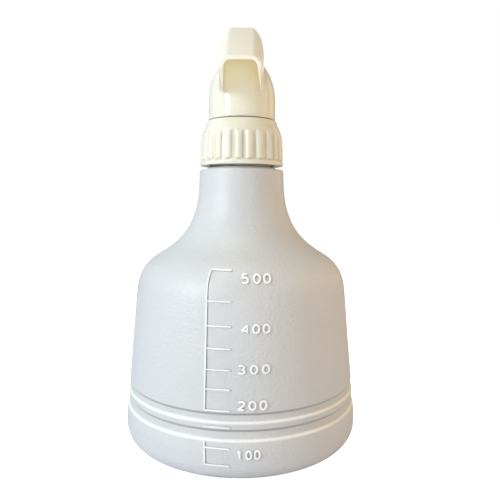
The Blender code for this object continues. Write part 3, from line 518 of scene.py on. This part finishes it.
# Painted shade darkens the strokes where they meet the wall.
shaded_creases(relief_painted_light, 0.0012, 0.52, 0.92, (0.20, 0.18, 0.16))
tick_heights = (0.0080, 0.0143, 0.0219, 0.0279, 0.0356, 0.0427, 0.0504, 0.0586, 0.0676, 0.0784)
rule_foot, rule_start, rule_lean = -0.0126, 0.028, 0.016
rule_width, rule_rise = 0.00066, 0.00058
tick_end, tick_lean, tick_fall = -0.0031, 0.006, 0.0001


def rule_place(z):
    """Where the rule stands across the wall: it leans in as it climbs, and bends in at its top."""
    bend = min(1, max(0, (z - 0.069) / 0.0094)) ** 3.2
    return rule_foot + rule_lean * max(z - rule_start, 0) + 0.0013 * bend


tick_tips = [(tick_end + tick_lean * (z - rule_start), z - tick_fall) for z in tick_heights]
lines = [[(rule_place(z), z), tip] for z, tip in zip(tick_heights, tick_tips)]
lines.append([(rule_place(z), z) for z in np.linspace(0.0276, tick_heights[-1], 48)])
lines.append([(rule_foot, 0.0165), (rule_foot + 0.0002, tick_heights[0])])
relief = [bead(line, rule_width, rule_rise) for line in lines]
tip_width, tip_rise = 0.0009, 0.00062
relief += [bead([(x - 0.0003, z), (x + 0.0002, z)], tip_width, tip_rise) for x, z in tick_tips]
scale_rule = beads("scale_rule", relief)
fit_out(scale_rule, "bottle", "bottle_pe", relief_painted_light)


def oval(left, right, low_end, high_end, start=0.0, sweep=360.0, count=28):
    """Points round an ellipse between four sides, from a start angle through a sweep, in degrees."""
    angle = np.radians(start + np.linspace(0, sweep, count))
    middle, centre = (left + right) / 2, (low_end + high_end) / 2
    across, up = (right - left) / 2, (high_end - low_end) / 2
    return np.stack([middle + across * np.cos(angle), centre + up * np.sin(angle)], -1)


# Strokes in a box one wide and one high.
numerals = {
    "0": [oval(0.04, 0.96, 0, 1, 90)],
    "1": [np.array([(0.15, 0.74), (0.60, 1.0), (0.60, 0.0)])],
    "2": [np.vstack([oval(0.06, 0.94, 0.45, 1, 165, -190, 16), [(0.50, 0.30), (0.04, 0.0), (0.98, 0.0)]])],
    "3": [oval(0.10, 0.90, 0.53, 1, 160, -250, 16), oval(0.04, 0.96, 0, 0.53, 90, -250, 18)],
    "4": [np.array([(0.74, 0.0), (0.74, 1.0), (0.02, 0.30), (1.0, 0.30)])],
    "5": [np.vstack([[(0.90, 1.0), (0.20, 1.0), (0.14, 0.55)], oval(0.02, 0.96, 0, 0.64, 125, -275, 20)])],
}
digit_height, stroke_width, stroke_rise = 0.0029, 0.00094, 0.00058
# Each row: its digits, its middle's height, a digit's width, and the digits' places across.
number_rows = (
    ("100", 0.0121, 0.0020, (0.0003, 0.0038, 0.0069)),
    ("200", 0.0299, 0.0025, (0.0010, 0.0051, 0.0091)),
    ("300", 0.0430, 0.0025, (0.0010, 0.0056, 0.0100)),
    ("400", 0.0577, 0.0025, (0.0024, 0.0063, 0.0101)),
    ("500", 0.0755, 0.0025, (0.0021, 0.0065, 0.0103)),
)
strokes = []
for number, middle, digit_width, centres in number_rows:
    for centre, digit in zip(centres, number):
        size = np.array([digit_width, digit_height])
        corner = np.array([centre, middle]) - size / 2
        strokes += [bead(corner + stroke * size, stroke_width, stroke_rise) for stroke in numerals[digit]]
fit_out(beads("scale_numbers", strokes), "bottle", "bottle_pe", relief_painted_light)

# Screw cap.
# Cream polypropylene with twenty-four rounded finger ribs between a plain flange and a coned shoulder. It is
# one closed surface whose radius rises and falls round the rib band; the thread inside is a ridge of its own.
cream_plastic = moulded_plastic(
    "cream_polypropylene", (0.81, 0.785, 0.66), (0.79, 0.76, 0.61), 0.12, 900.0, 0.00001, glow=0.2
)
low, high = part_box("screw_cap")
cap_bottom, cap_top = low.z, high.z
flange_radius = high.x
cap_radius = flange_radius - 0.0003
thread_bore, web_bore, crown_bore, web = 0.01435, 0.0138, 0.0124, 0.0012
rib_count, rib_points = 24, 20
rib_top = cap_top - 0.0058
rib_bottom = cap_bottom + 0.0021
outside = softened(
    [
        (thread_bore, cap_bottom + 0.0004),
        (0.01465, cap_bottom),
        (flange_radius - 0.0001, cap_bottom),
        (flange_radius, cap_bottom + 0.0014),
        (cap_radius - 0.0003, rib_bottom),
        (cap_radius - 0.0008, rib_top - 0.0010),
        (0.0169, cap_top - 0.0047),
        (0.0158, cap_top - 0.0024),
        (0.0151, cap_top - 0.0005),
        (0.0147, cap_top),
        (crown_bore, cap_top),
        (crown_bore, cap_top - web),
        (web_bore, cap_top - web),
        (thread_bore, cap_top - 0.0018),
    ],
    0.0005,
)
knots = np.concatenate([[0], np.cumsum(np.linalg.norm(np.diff(outside, axis=0), axis=1))])
fine = np.unique(np.concatenate([knots, np.linspace(0, knots[-1], 150)]))
outside = np.stack([np.interp(fine, knots, outside[:, k]) for k in (0, 1)], -1)
cap_grid = spin(outside, rib_count * rib_points)
theta = np.linspace(0, 2 * np.pi, rib_count * rib_points, endpoint=False)
height = outside[:, 1:]
rib_band = np.clip((height - rib_bottom) / 0.0005, 0, 1)
rib_band = rib_band * np.sqrt(np.clip((rib_top + 0.0006 - height) / 0.0022, 0, 1))
rib_band = rib_band * (outside[:, :1] > 0.0155)
wave = np.abs(np.cos(rib_count / 2 * theta + 0.63))
rib_height, rib_sink, groove_share = 0.00088, 0.0003, 0.42
rib = rib_height * np.clip((wave - groove_share) / (1 - groove_share), 0, 1) ** 0.6 - rib_sink
radial = np.hypot(cap_grid[..., 0], cap_grid[..., 1])
cap_grid[..., :2] *= ((radial + rib_band * rib) / radial)[..., None]
# A copy of the cream plastic with painted shade in the grooves between the ribs.
ribbed_shaded_plastic = cream_plastic.copy()
ribbed_shaded_plastic.name = "ribbed_polypropylene_painted_shade"
shaded_creases(ribbed_shaded_plastic, 0.0016, 0.55, 0.97, (0.50, 0.47, 0.34))
fit_out(skin("cap_shell", cap_grid, loop=True), "cap", "head_pp", ribbed_shaded_plastic, "screw_cap")
cap_ridge = thread_ridge(
    "cap_ridge", 0.0146, 0.0132, thread_width, thread_pitch, 1.25, thread_start - thread_pitch / 2
)
fit_out(cap_ridge, "cap", "head_pp", cream_plastic)

# Pump body.
# One moulding: a tall domed shell over the cap, with the pump cylinder through its front wall, the discharge
# barrel along its crown, and two lugs for the trigger's pin. The dome has a shallow flat pad down its back.
fit_gap = 0.0003
dome_wall = 0.0015
dome_bottom = cap_top + fit_gap
dome_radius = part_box("pump_body")[1].x
dome_centre = dome_bottom + 0.0079
dome_rise = 0.0204
cylinder_z = dome_bottom + 0.0114
cylinder_bore, cylinder_radius = 0.0056, 0.0070
barrel_bore, barrel_radius, barrel_sink = 0.0022, 0.0038, 0.0016
barrel_z = dome_centre + dome_rise - barrel_sink + barrel_radius
barrel_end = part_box("pump_body")[1].y
quarter = np.linspace(0, np.pi / 2, 40)[:, None]
dome_side = np.hstack([dome_radius * np.cos(quarter), dome_centre + dome_rise * np.sin(quarter)])
inner_rise, inner_radius = dome_rise - dome_wall, dome_radius - dome_wall
dome_inside = np.hstack([inner_radius * np.cos(quarter), dome_centre + inner_rise * np.sin(quarter)])
collar_inside, collar_outside = 0.0106, 0.0121
skirt = softened(
    [
        (inner_radius, dome_bottom + dome_wall),
        (collar_inside, dome_bottom + dome_wall),
        (collar_inside, dome_bottom - dome_wall),
        (collar_outside, dome_bottom - dome_wall),
        (collar_outside, dome_bottom),
        (dome_radius - 0.0003, dome_bottom),
        (dome_radius, dome_bottom + 0.0003),
        (dome_radius, dome_centre),
    ],
    0.0002,
)
plain = np.linspace(dome_bottom + 0.0008, dome_centre, 10)[:-1, None]
straight = np.hstack([dome_radius + 0 * plain, plain])
dome_outline = np.vstack([dome_inside[::-1], skirt[:-1], straight, dome_side])
dome_grid = spin(dome_outline, 240)
pad_edge, pad_rise = 0.0073, 0.00025
pad = np.clip((pad_edge - np.abs(dome_grid[..., 0])) / 0.0005, 0, 1) * (dome_grid[..., 1] < -0.008)
is_outer = (np.arange(len(dome_outline)) >= len(dome_inside) + len(skirt) - 4)[:, None]
pad = pad * is_outer * np.clip((dome_grid[..., 2] - dome_bottom) / 0.0006, 0, 1)
dome_grid[..., 1] -= pad_rise * pad
fit_out(skin("dome_shell", dome_grid), "head", "head_pp", cream_plastic, "pump_body")


def along_spray(grid, height):
    """Lay a turned grid down along the spray axis, +Y, at a height."""
    return np.stack([grid[..., 0], grid[..., 2], height - grid[..., 1]], -1)


cylinder_front = dome_radius + 0.0038
cylinder_back, cylinder_floor = -0.0075, -0.0060
cylinder_tube = softened(
    [
        (0, cylinder_back),
        (cylinder_radius, cylinder_back),
        (cylinder_radius, cylinder_front),
        (cylinder_bore, cylinder_front),
        (cylinder_bore, cylinder_floor),
        (0, cylinder_floor),
    ],
    0.0003,
)
pump_cylinder = skin("pump_cylinder", along_spray(spin(cylinder_tube, 96), cylinder_z))
fit_out(pump_cylinder, "head", "head_pp", cream_plastic)
barrel_back, throttle_radius, throttle_end = -0.0055, 0.0010, 0.0237
barrel_tube = softened(
    [
        (barrel_bore, barrel_back),
        (barrel_radius, barrel_back),
        (barrel_radius, barrel_end),
        (barrel_bore, barrel_end),
        (barrel_bore, throttle_end),
        (throttle_radius, throttle_end),
        (throttle_radius, 0.0),
        (barrel_bore, 0.0),
        (barrel_bore, barrel_back),
    ],
    0.0002,
)
discharge_barrel = skin("discharge_barrel", along_spray(spin(barrel_tube, 80), barrel_z))
fit_out(discharge_barrel, "head", "head_pp", cream_plastic)
low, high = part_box("trigger_pin")
pin_y, pin_z, pin_reach = (low.y + high.y) / 2, (low.z + high.z) / 2, high.x


def rounded_plate(name, outline, start, end, edge=0.0003):
    """A plate cut to a closed (y, z) outline, from one place along X to another, with eased edges."""
    outline = np.array(outline, float)
    centre = outline.mean(0)
    steps = ((start, edge), (start + edge, 0), (end - edge, 0), (end, edge))
    size = np.linalg.norm(outline - centre, axis=1)[:, None]
    rows = [centre + (outline - centre) * (1 - inset / size) for _, inset in steps]
    grid = [np.hstack([np.full((len(outline), 1), x), row]) for (x, _), row in zip(steps, rows)]
    return skin(name, np.array(grid))


lug_width, lug_half, lug_drop, bridge_depth = 0.0017, 0.0034, 0.0030, 0.0020
lug_foot = np.radians(np.linspace(180, 360, 20))
lug_top, lug_front, lug_back = barrel_z + 0.0002, pin_y + lug_half, pin_y - lug_half
lug_outline = np.vstack(
    [
        np.stack([pin_y + lug_half * np.cos(lug_foot), pin_z + lug_drop * np.sin(lug_foot)], -1),
        [(lug_front, lug_top), (lug_back, lug_top)],
    ]
)
for side, start in (("left", -pin_reach), ("right", pin_reach - lug_width)):
    lug = rounded_plate(f"trigger_lug_{side}", lug_outline, start, start + lug_width)
    fit_out(lug, "head", "head_pp", cream_plastic)
bridge_low = barrel_z - bridge_depth
bridge = [(lug_back, bridge_low), (lug_front, bridge_low), (lug_front, lug_top), (lug_back, lug_top)]
lug_bridge = rounded_plate("lug_bridge", bridge, -pin_reach, pin_reach)
fit_out(lug_bridge, "head", "head_pp", cream_plastic)

# Shroud.
# The hood snaps over the barrel: a thin cream channel with a flat crown that slopes down to an open tail. Its
# middle surface is lofted along Y, and the wall is built out to both sides of it, with a round lip all round.
low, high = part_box("shroud")
shroud_top, tail_y, front_y = high.z, low.y, high.y
hood_wall, hood_half, tail_taper = 0.0015, 0.0092, 0.0014


def near_edge(count):
    """Distances from an edge, up to half the wall, that crowd towards the edge as a cosine does."""
    return hood_wall / 2 * (1 - np.cos(np.linspace(0, 1.57, count)))


stations = np.linspace(tail_y, front_y, 130)
stations = np.unique(np.concatenate([stations, tail_y + near_edge(8), front_y - near_edge(8)]))
slope, slope_start, slope_blend = 0.0212 / 0.033, 0.004, 0.0025
behind = -stations - slope_start
fall = slope * (behind + np.sqrt(behind**2 + slope_blend**2)) / 2
top = shroud_top - hood_wall / 2 - fall
tail_share = np.clip((-stations - dome_radius) / (-tail_y - dome_radius), 0, 1)
half = hood_half - hood_wall / 2 - tail_taper * tail_share
hem_root, tail_height = dome_centre + 0.0019, 0.0257
tail_drop = (shroud_top - tail_height - hem_root) * tail_share
front_share = np.clip((stations + 0.5 * dome_radius) / (0.8 * dome_radius), 0, 1)
front_drop = (pin_z + 0.0005 - hem_root) * front_share
hem = hem_root + np.where(stations < -0.5 * dome_radius, tail_drop, front_drop)
ride_radius = np.hypot(half - hood_wall / 2, stations) / (dome_radius + fit_gap)
dome_line = dome_centre + (dome_rise + fit_gap) * np.sqrt(np.clip(1 - ride_radius**2, 0, 1))
hem = np.where(ride_radius < 1, np.maximum(hem, dome_line), hem) + 0.0002
crown = 0.0047
drop = np.minimum(0.0088, 0.85 * (top - hem))
bend = np.radians(62)
lift = np.linspace(0, 1, 14)
hem_steps = np.unique(np.concatenate([near_edge(6) / 0.004, lift[1:]]))
side_z = hem[:, None] + (top - drop - hem)[:, None] * hem_steps
side_x = half[:, None] + 0 * hem_steps
arc = np.linspace(0, 1, 18)[1:] * bend
shoulder_x = half[:, None] - (half - crown)[:, None] * (1 - np.cos(arc)) / (1 - np.cos(bend))
shoulder_z = (top - drop)[:, None] + drop[:, None] * np.sin(arc) / np.sin(bend)
crown_x = crown * np.linspace(1, 0, 8)[None, 1:] + 0 * half[:, None]
crown_z = top[:, None] + 0.00012 * (1 - (crown_x / crown) ** 2)
section_x = np.hstack([side_x, shoulder_x, crown_x])
section_z = np.hstack([side_z, shoulder_z, crown_z])
middle_x = np.hstack([section_x, -section_x[:, -2::-1]])
middle_z = np.hstack([section_z, section_z[:, -2::-1]])
middle = np.stack([middle_x, stations[:, None] + 0 * middle_x, middle_z], -1)
down = np.gradient(middle, axis=0)
over = np.gradient(middle, axis=1)
outward = np.cross(over, down)
outward /= np.linalg.norm(outward, axis=2)[..., None]
lengths = np.linalg.norm(np.diff(middle, axis=1), axis=2)
from_hem = np.hstack([np.zeros((len(stations), 1)), np.cumsum(lengths, axis=1)])
to_hem = np.minimum(from_hem, from_hem[:, -1:] - from_hem)
to_end = np.minimum(stations - tail_y, front_y - stations)[:, None]


def lip(distance):
    """How thick the wall is at a distance from its edge: a half circle, then full."""
    return np.sqrt(np.clip(1 - (1 - np.minimum(distance / (hood_wall / 2), 1)) ** 2, 0.02, 1))


thick = (hood_wall / 2 * lip(to_hem) * lip(to_end))[..., None]
if outward[len(stations) // 2, middle.shape[1] // 2, 2] < 0:
    outward = -outward
shroud_grid = np.concatenate([middle + outward * thick, (middle - outward * thick)[:, ::-1]], 1)
shroud_shell = skin("shroud_shell", shroud_grid)


def thin_wall(name, seep, glow):
    """Cream plastic thin enough for light to come through it: a share of it seeps, and a painted warm glow
    lights it.
    """
    material = cream_plastic.copy()
    material.name = name
    tree = material.node_tree
    tree.nodes["Group"].inputs["Colour"].default_value = (0.86, 0.86, 0.80, 1)
    tree.nodes["Group"].inputs["Deep Colour"].default_value = (0.85, 0.84, 0.75, 1)
    shader = tree.nodes["Principled BSDF"]
    # Painted glow: a warm emission makes the wall look lit from within.
    shader.inputs["Emission Color"].default_value = (1.0, 0.80, 0.42, 1)
    shader.inputs["Emission Strength"].default_value = glow
    through = tree.nodes.new("ShaderNodeBsdfTranslucent")
    through.inputs["Color"].default_value = (1.0, 0.98, 0.93, 1)
    blend = tree.nodes.new("ShaderNodeMixShader")
    blend.inputs["Fac"].default_value = seep
    tree.links.new(shader.outputs["BSDF"], blend.inputs[1])
    tree.links.new(through.outputs["BSDF"], blend.inputs[2])
    tree.links.new(blend.outputs["Shader"], tree.nodes["Material Output"].inputs["Surface"])
    return material


fit_out(shroud_shell, "head", "head_pp", thin_wall("cream_hood", 0.34, 0.0), "shroud")
# The inside of the hood carries a painted warm glow.
shroud_shell.data.materials.append(thin_wall("cream_hood_inside_painted_glow", 0.40, 0.32))
# A face that looks towards the channel's middle line is on the inside.
for face in shroud_shell.data.polygons:
    line_z = shroud_top - 0.014 + 0.6 * min(face.center.y + slope_start, 0)
    from_line = np.array([face.center.x, 0, face.center.z - line_z])
    face.material_index = int(np.dot(from_line, face.normal) < 0)

# Trigger.
# A curved lever with a channel section, hung on its pin under the barrel. The finger side is smooth and
# crowned, the back is open, and a small pad bears on the piston rod.
pad_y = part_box("piston")[1].y + fit_gap
face_y = pad_y + 0.0018
top_point = (pin_y + 0.0024, pin_z + 0.0004)
knee = (face_y + 0.0012, cylinder_z - 0.0065)
tip = (pin_y + 0.0200, pin_z - 0.0415)
upper = cubic(top_point, (face_y + 0.0010, pin_z - 0.002), (face_y - 0.0002, cylinder_z), knee, 36)
lower = cubic(knee, (knee[0] + 0.0016, knee[1] - 0.007), (tip[0] - 0.0080, tip[1] + 0.0085), tip, 44)
lever = np.vstack([upper, lower[1:]])
way = np.gradient(lever, axis=0)
way /= np.linalg.norm(way, axis=1)[:, None]
share = np.linspace(0, 1, len(lever))
root_half, spread, lever_wall = 0.0046, 0.0016, 0.0016
half_width = root_half + spread * np.clip((share - 0.12) * 5, 0, 1)
lip_depth = (0.0018 + 0.0014 * np.clip(0.15 + 2 * share, 0, 1))[:, None]
to_tip = np.linalg.norm(lever - lever[-1], axis=1)
tip_rounding = 0.0035
rounding = np.sqrt(np.clip(1 - (1 - np.minimum(to_tip / tip_rounding, 1)) ** 2, 0.15, 1))
# A section is (across, depth) points from lip to lip and back; at_lip stands for the lip's own depth there.
at_lip = -1.0
corner = np.linspace(0, np.pi / 2, 8)
turn_in, turn_down = 0.18 * (1 - np.cos(corner)), -0.0011 * (1 - np.sin(corner))
ring_x = np.concatenate([[-1.0], -1 + turn_in, [-0.4, 0.0, 0.4], 1 - turn_in[::-1], [1.0]])
ring_depth = np.concatenate([[at_lip], turn_down, [0.0001, 0.0002, 0.0001], turn_down[::-1], [at_lip]])
outer_x = half_width[:, None] * ring_x * rounding[:, None]
outer_depth = np.where(ring_depth == at_lip, -lip_depth, ring_depth)
inner_x = (half_width * rounding - lever_wall)[:, None] * np.array([1.0, 1.0, 0.9, -0.9, -1.0, -1.0])
inner_depth = np.array([at_lip, -0.0022, -0.0018, -0.0018, -0.0022, at_lip])
inner_depth = np.where(inner_depth == at_lip, -lip_depth, np.maximum(inner_depth, -lip_depth))
ring_x, ring_depth = np.hstack([outer_x, inner_x]), np.hstack([outer_depth, inner_depth])
lever_grid = np.stack(
    [ring_x, lever[:, :1] - way[:, 1:] * ring_depth, lever[:, 1:] + way[:, :1] * ring_depth], -1
)
trigger_lever = skin("trigger_lever", lever_grid, crease=30)
fit_out(trigger_lever, "trigger", "head_pp", cream_plastic, "trigger")
hub_end, hub_bore, hub_radius, hub_edge = 0.0049, 0.0017, 0.0030, 0.0002
half_hub = [(hub_end, hub_bore), (hub_end, hub_radius - hub_edge), (hub_end - hub_edge, hub_radius)]
hub_side = np.array([(-x, radius) for x, radius in half_hub] + half_hub[::-1])
hub_x, hub_out = hub_side[:, :1], hub_side[:, 1:]
hub_round = np.radians(np.linspace(0, 360, 48, endpoint=False))
hub_y, hub_z = pin_y + hub_out * np.cos(hub_round), pin_z + hub_out * np.sin(hub_round)
trigger_hub = skin("trigger_hub", np.stack([hub_x + 0 * hub_round, hub_y, hub_z], -1), loop=True)
fit_out(trigger_hub, "trigger", "head_pp", cream_plastic)
pad_half, pad_front = 0.003, face_y + 0.0003
pad_low, pad_high = cylinder_z - pad_half, cylinder_z + pad_half
pad_outline = [(pad_y, pad_low), (pad_front, pad_low), (pad_front, pad_high), (pad_y, pad_high)]
rod_pad = rounded_plate("rod_pad", pad_outline, -pad_half, pad_half)
fit_out(rod_pad, "trigger", "head_pp", cream_plastic)

# Nozzle knob.
# A square cream knob with soft corners and fine grip ribs, turned to set the spray from jet to mist. It is
# one closed surface: the outside from back to front, the face with its orifice, then the bore to the back.
low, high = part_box("nozzle_knob")
knob_back, knob_front, knob_half = low.y, high.y, high.x
knob_angle = np.linspace(0, 2 * np.pi, 320, endpoint=False)
square = 1 / (np.abs(np.cos(knob_angle)) ** 7 + np.abs(np.sin(knob_angle)) ** 7) ** (1 / 7)
grip_count, grip_depth = 40, 0.00025
grip = np.clip(np.cos(grip_count * knob_angle), 0, 1)
# The outside: share of the half width, place along Y, and whether it is ribbed there.
knob_outside = [
    (0.93, knob_back, 0), (0.98, knob_back + 0.0003, 0),
    (1.0, knob_back + 0.0009, 0), (1.0, knob_back + 0.0014, 1),
    (1.0, knob_front - 0.0030, 1), (1.0, knob_front - 0.0024, 0), (0.99, knob_front - 0.0010, 0),
    (0.95, knob_front - 0.0003, 0), (0.88, knob_front, 0), (0.40, knob_front, 0),
]
# The orifice, the spin chamber and the bore: radius, and place along Y.
knob_inside = [
    (0.0022, knob_front), (0.0016, knob_front - 0.0007),
    (0.0004, knob_front - 0.0010), (0.0004, knob_front - 0.0024),
    (0.0039, knob_front - 0.0030), (0.0039, knob_back + 0.0082), (0.0053, knob_back + 0.0080),
    (0.0053, knob_back + 0.0068), (0.0060, knob_back + 0.0062), (0.0060, knob_back),
]
scale, outside_y, ribbed = np.array(knob_outside).T[..., None]
inside_radius, inside_y = np.array(knob_inside).T[..., None]
knob_radius = np.vstack(
    [knob_half * scale * square - grip_depth * ribbed * grip, inside_radius + 0 * knob_angle]
)
knob_y = np.vstack([outside_y, inside_y]) + 0 * knob_angle
knob_x, knob_z = knob_radius * np.cos(knob_angle), barrel_z + knob_radius * np.sin(knob_angle)
knob_shell = skin("knob_shell", np.stack([knob_x, knob_y, knob_z], -1), loop=True, crease=40)
fit_out(knob_shell, "nozzle", "head_pp", cream_plastic, "nozzle_knob")

# Springs.
# Stainless wire: the large spring pushes the piston back out of its cylinder, and the small one holds the
# outlet ball on its seat. Each is a round wire carried round a helix whose end turns lie flat.
steel = moulded_plastic("stainless_steel", (0.62, 0.62, 0.63), (0.52, 0.52, 0.53), 0.22, 3000.0, 0.000004)
steel.node_tree.nodes["Principled BSDF"].inputs["Metallic"].default_value = 1.0


def spring(name, radius, wire, turns, back, front, height):
    """Points of a round wire on a helix along Y; the first and last half turns climb only slowly."""
    t = np.linspace(0, 1, int(28 * turns))
    angle = 2 * np.pi * turns * t
    ease = t - 0.35 * np.sin(2 * np.pi * t) / (2 * np.pi)
    y = back + wire + (front - back - 2 * wire) * ease
    centre = np.stack([radius * np.cos(angle), y, height + radius * np.sin(angle)], -1)
    along = np.gradient(centre, axis=0)
    along /= np.linalg.norm(along, axis=1)[:, None]
    out = np.stack([np.cos(angle), 0 * angle, np.sin(angle)], -1)
    third = np.cross(along, out)
    ring = np.linspace(0, 2 * np.pi, 12, endpoint=False)[:, None, None]
    return skin(name, (centre + wire * (np.cos(ring) * out + np.sin(ring) * third)).transpose(1, 0, 2))


low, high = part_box("return_spring")
coil_radius, wire_radius, coil_turns = 0.0040, 0.00045, 6
return_coil = spring("return_coil", coil_radius, wire_radius, coil_turns, low.y, high.y, cylinder_z)
fit_out(return_coil, "head", "valve_steel", steel, "return_spring")
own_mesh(return_coil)
low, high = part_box("outlet_spring")
coil_radius, wire_radius, coil_turns = 0.0013, 0.0002, 5
outlet_coil = spring("outlet_coil", coil_radius, wire_radius, coil_turns, low.y, high.y, barrel_z)
fit_out(outlet_coil, "head", "valve_steel", steel, "outlet_spring")
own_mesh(outlet_coil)

# Carried-over pieces.
# The working parts inside the head keep their CAD shapes and take the finish of what they are made of.
inner_plastic = moulded_plastic(
    "natural_polyethylene", (0.78, 0.79, 0.77), (0.72, 0.73, 0.71), 0.32, 1200.0, 0.00002, glow=0.2
)
tube_plastic = moulded_plastic(
    "milky_tube", (0.74, 0.76, 0.76), (0.68, 0.70, 0.70), 0.22, 600.0, 0.00002, glow=0.3
)
seal_plastic = moulded_plastic("seal_foam", (0.55, 0.55, 0.52), (0.48, 0.48, 0.45), 0.6, 2500.0, 0.00006)
ring_rubber = moulded_plastic(
    "nitrile_rubber", (0.018, 0.018, 0.018), (0.03, 0.03, 0.03), 0.45, 2000.0, 0.00003
)
finishes = {
    "head_pp": cream_plastic,
    "inner_pe": inner_plastic,
    "tube_pe": tube_plastic,
    "seal_foam": seal_plastic,
    "o_ring": ring_rubber,
    "valve_steel": steel,
    "bottle_pe": white_plastic,
}
for entry in frame["record"]["subparts"]:
    mesh = frame["nodes"][entry["node"]].data
    mesh.materials.clear()
    mesh.materials.append(finishes[entry["material_slot"]])

bpy.context.view_layer.update()
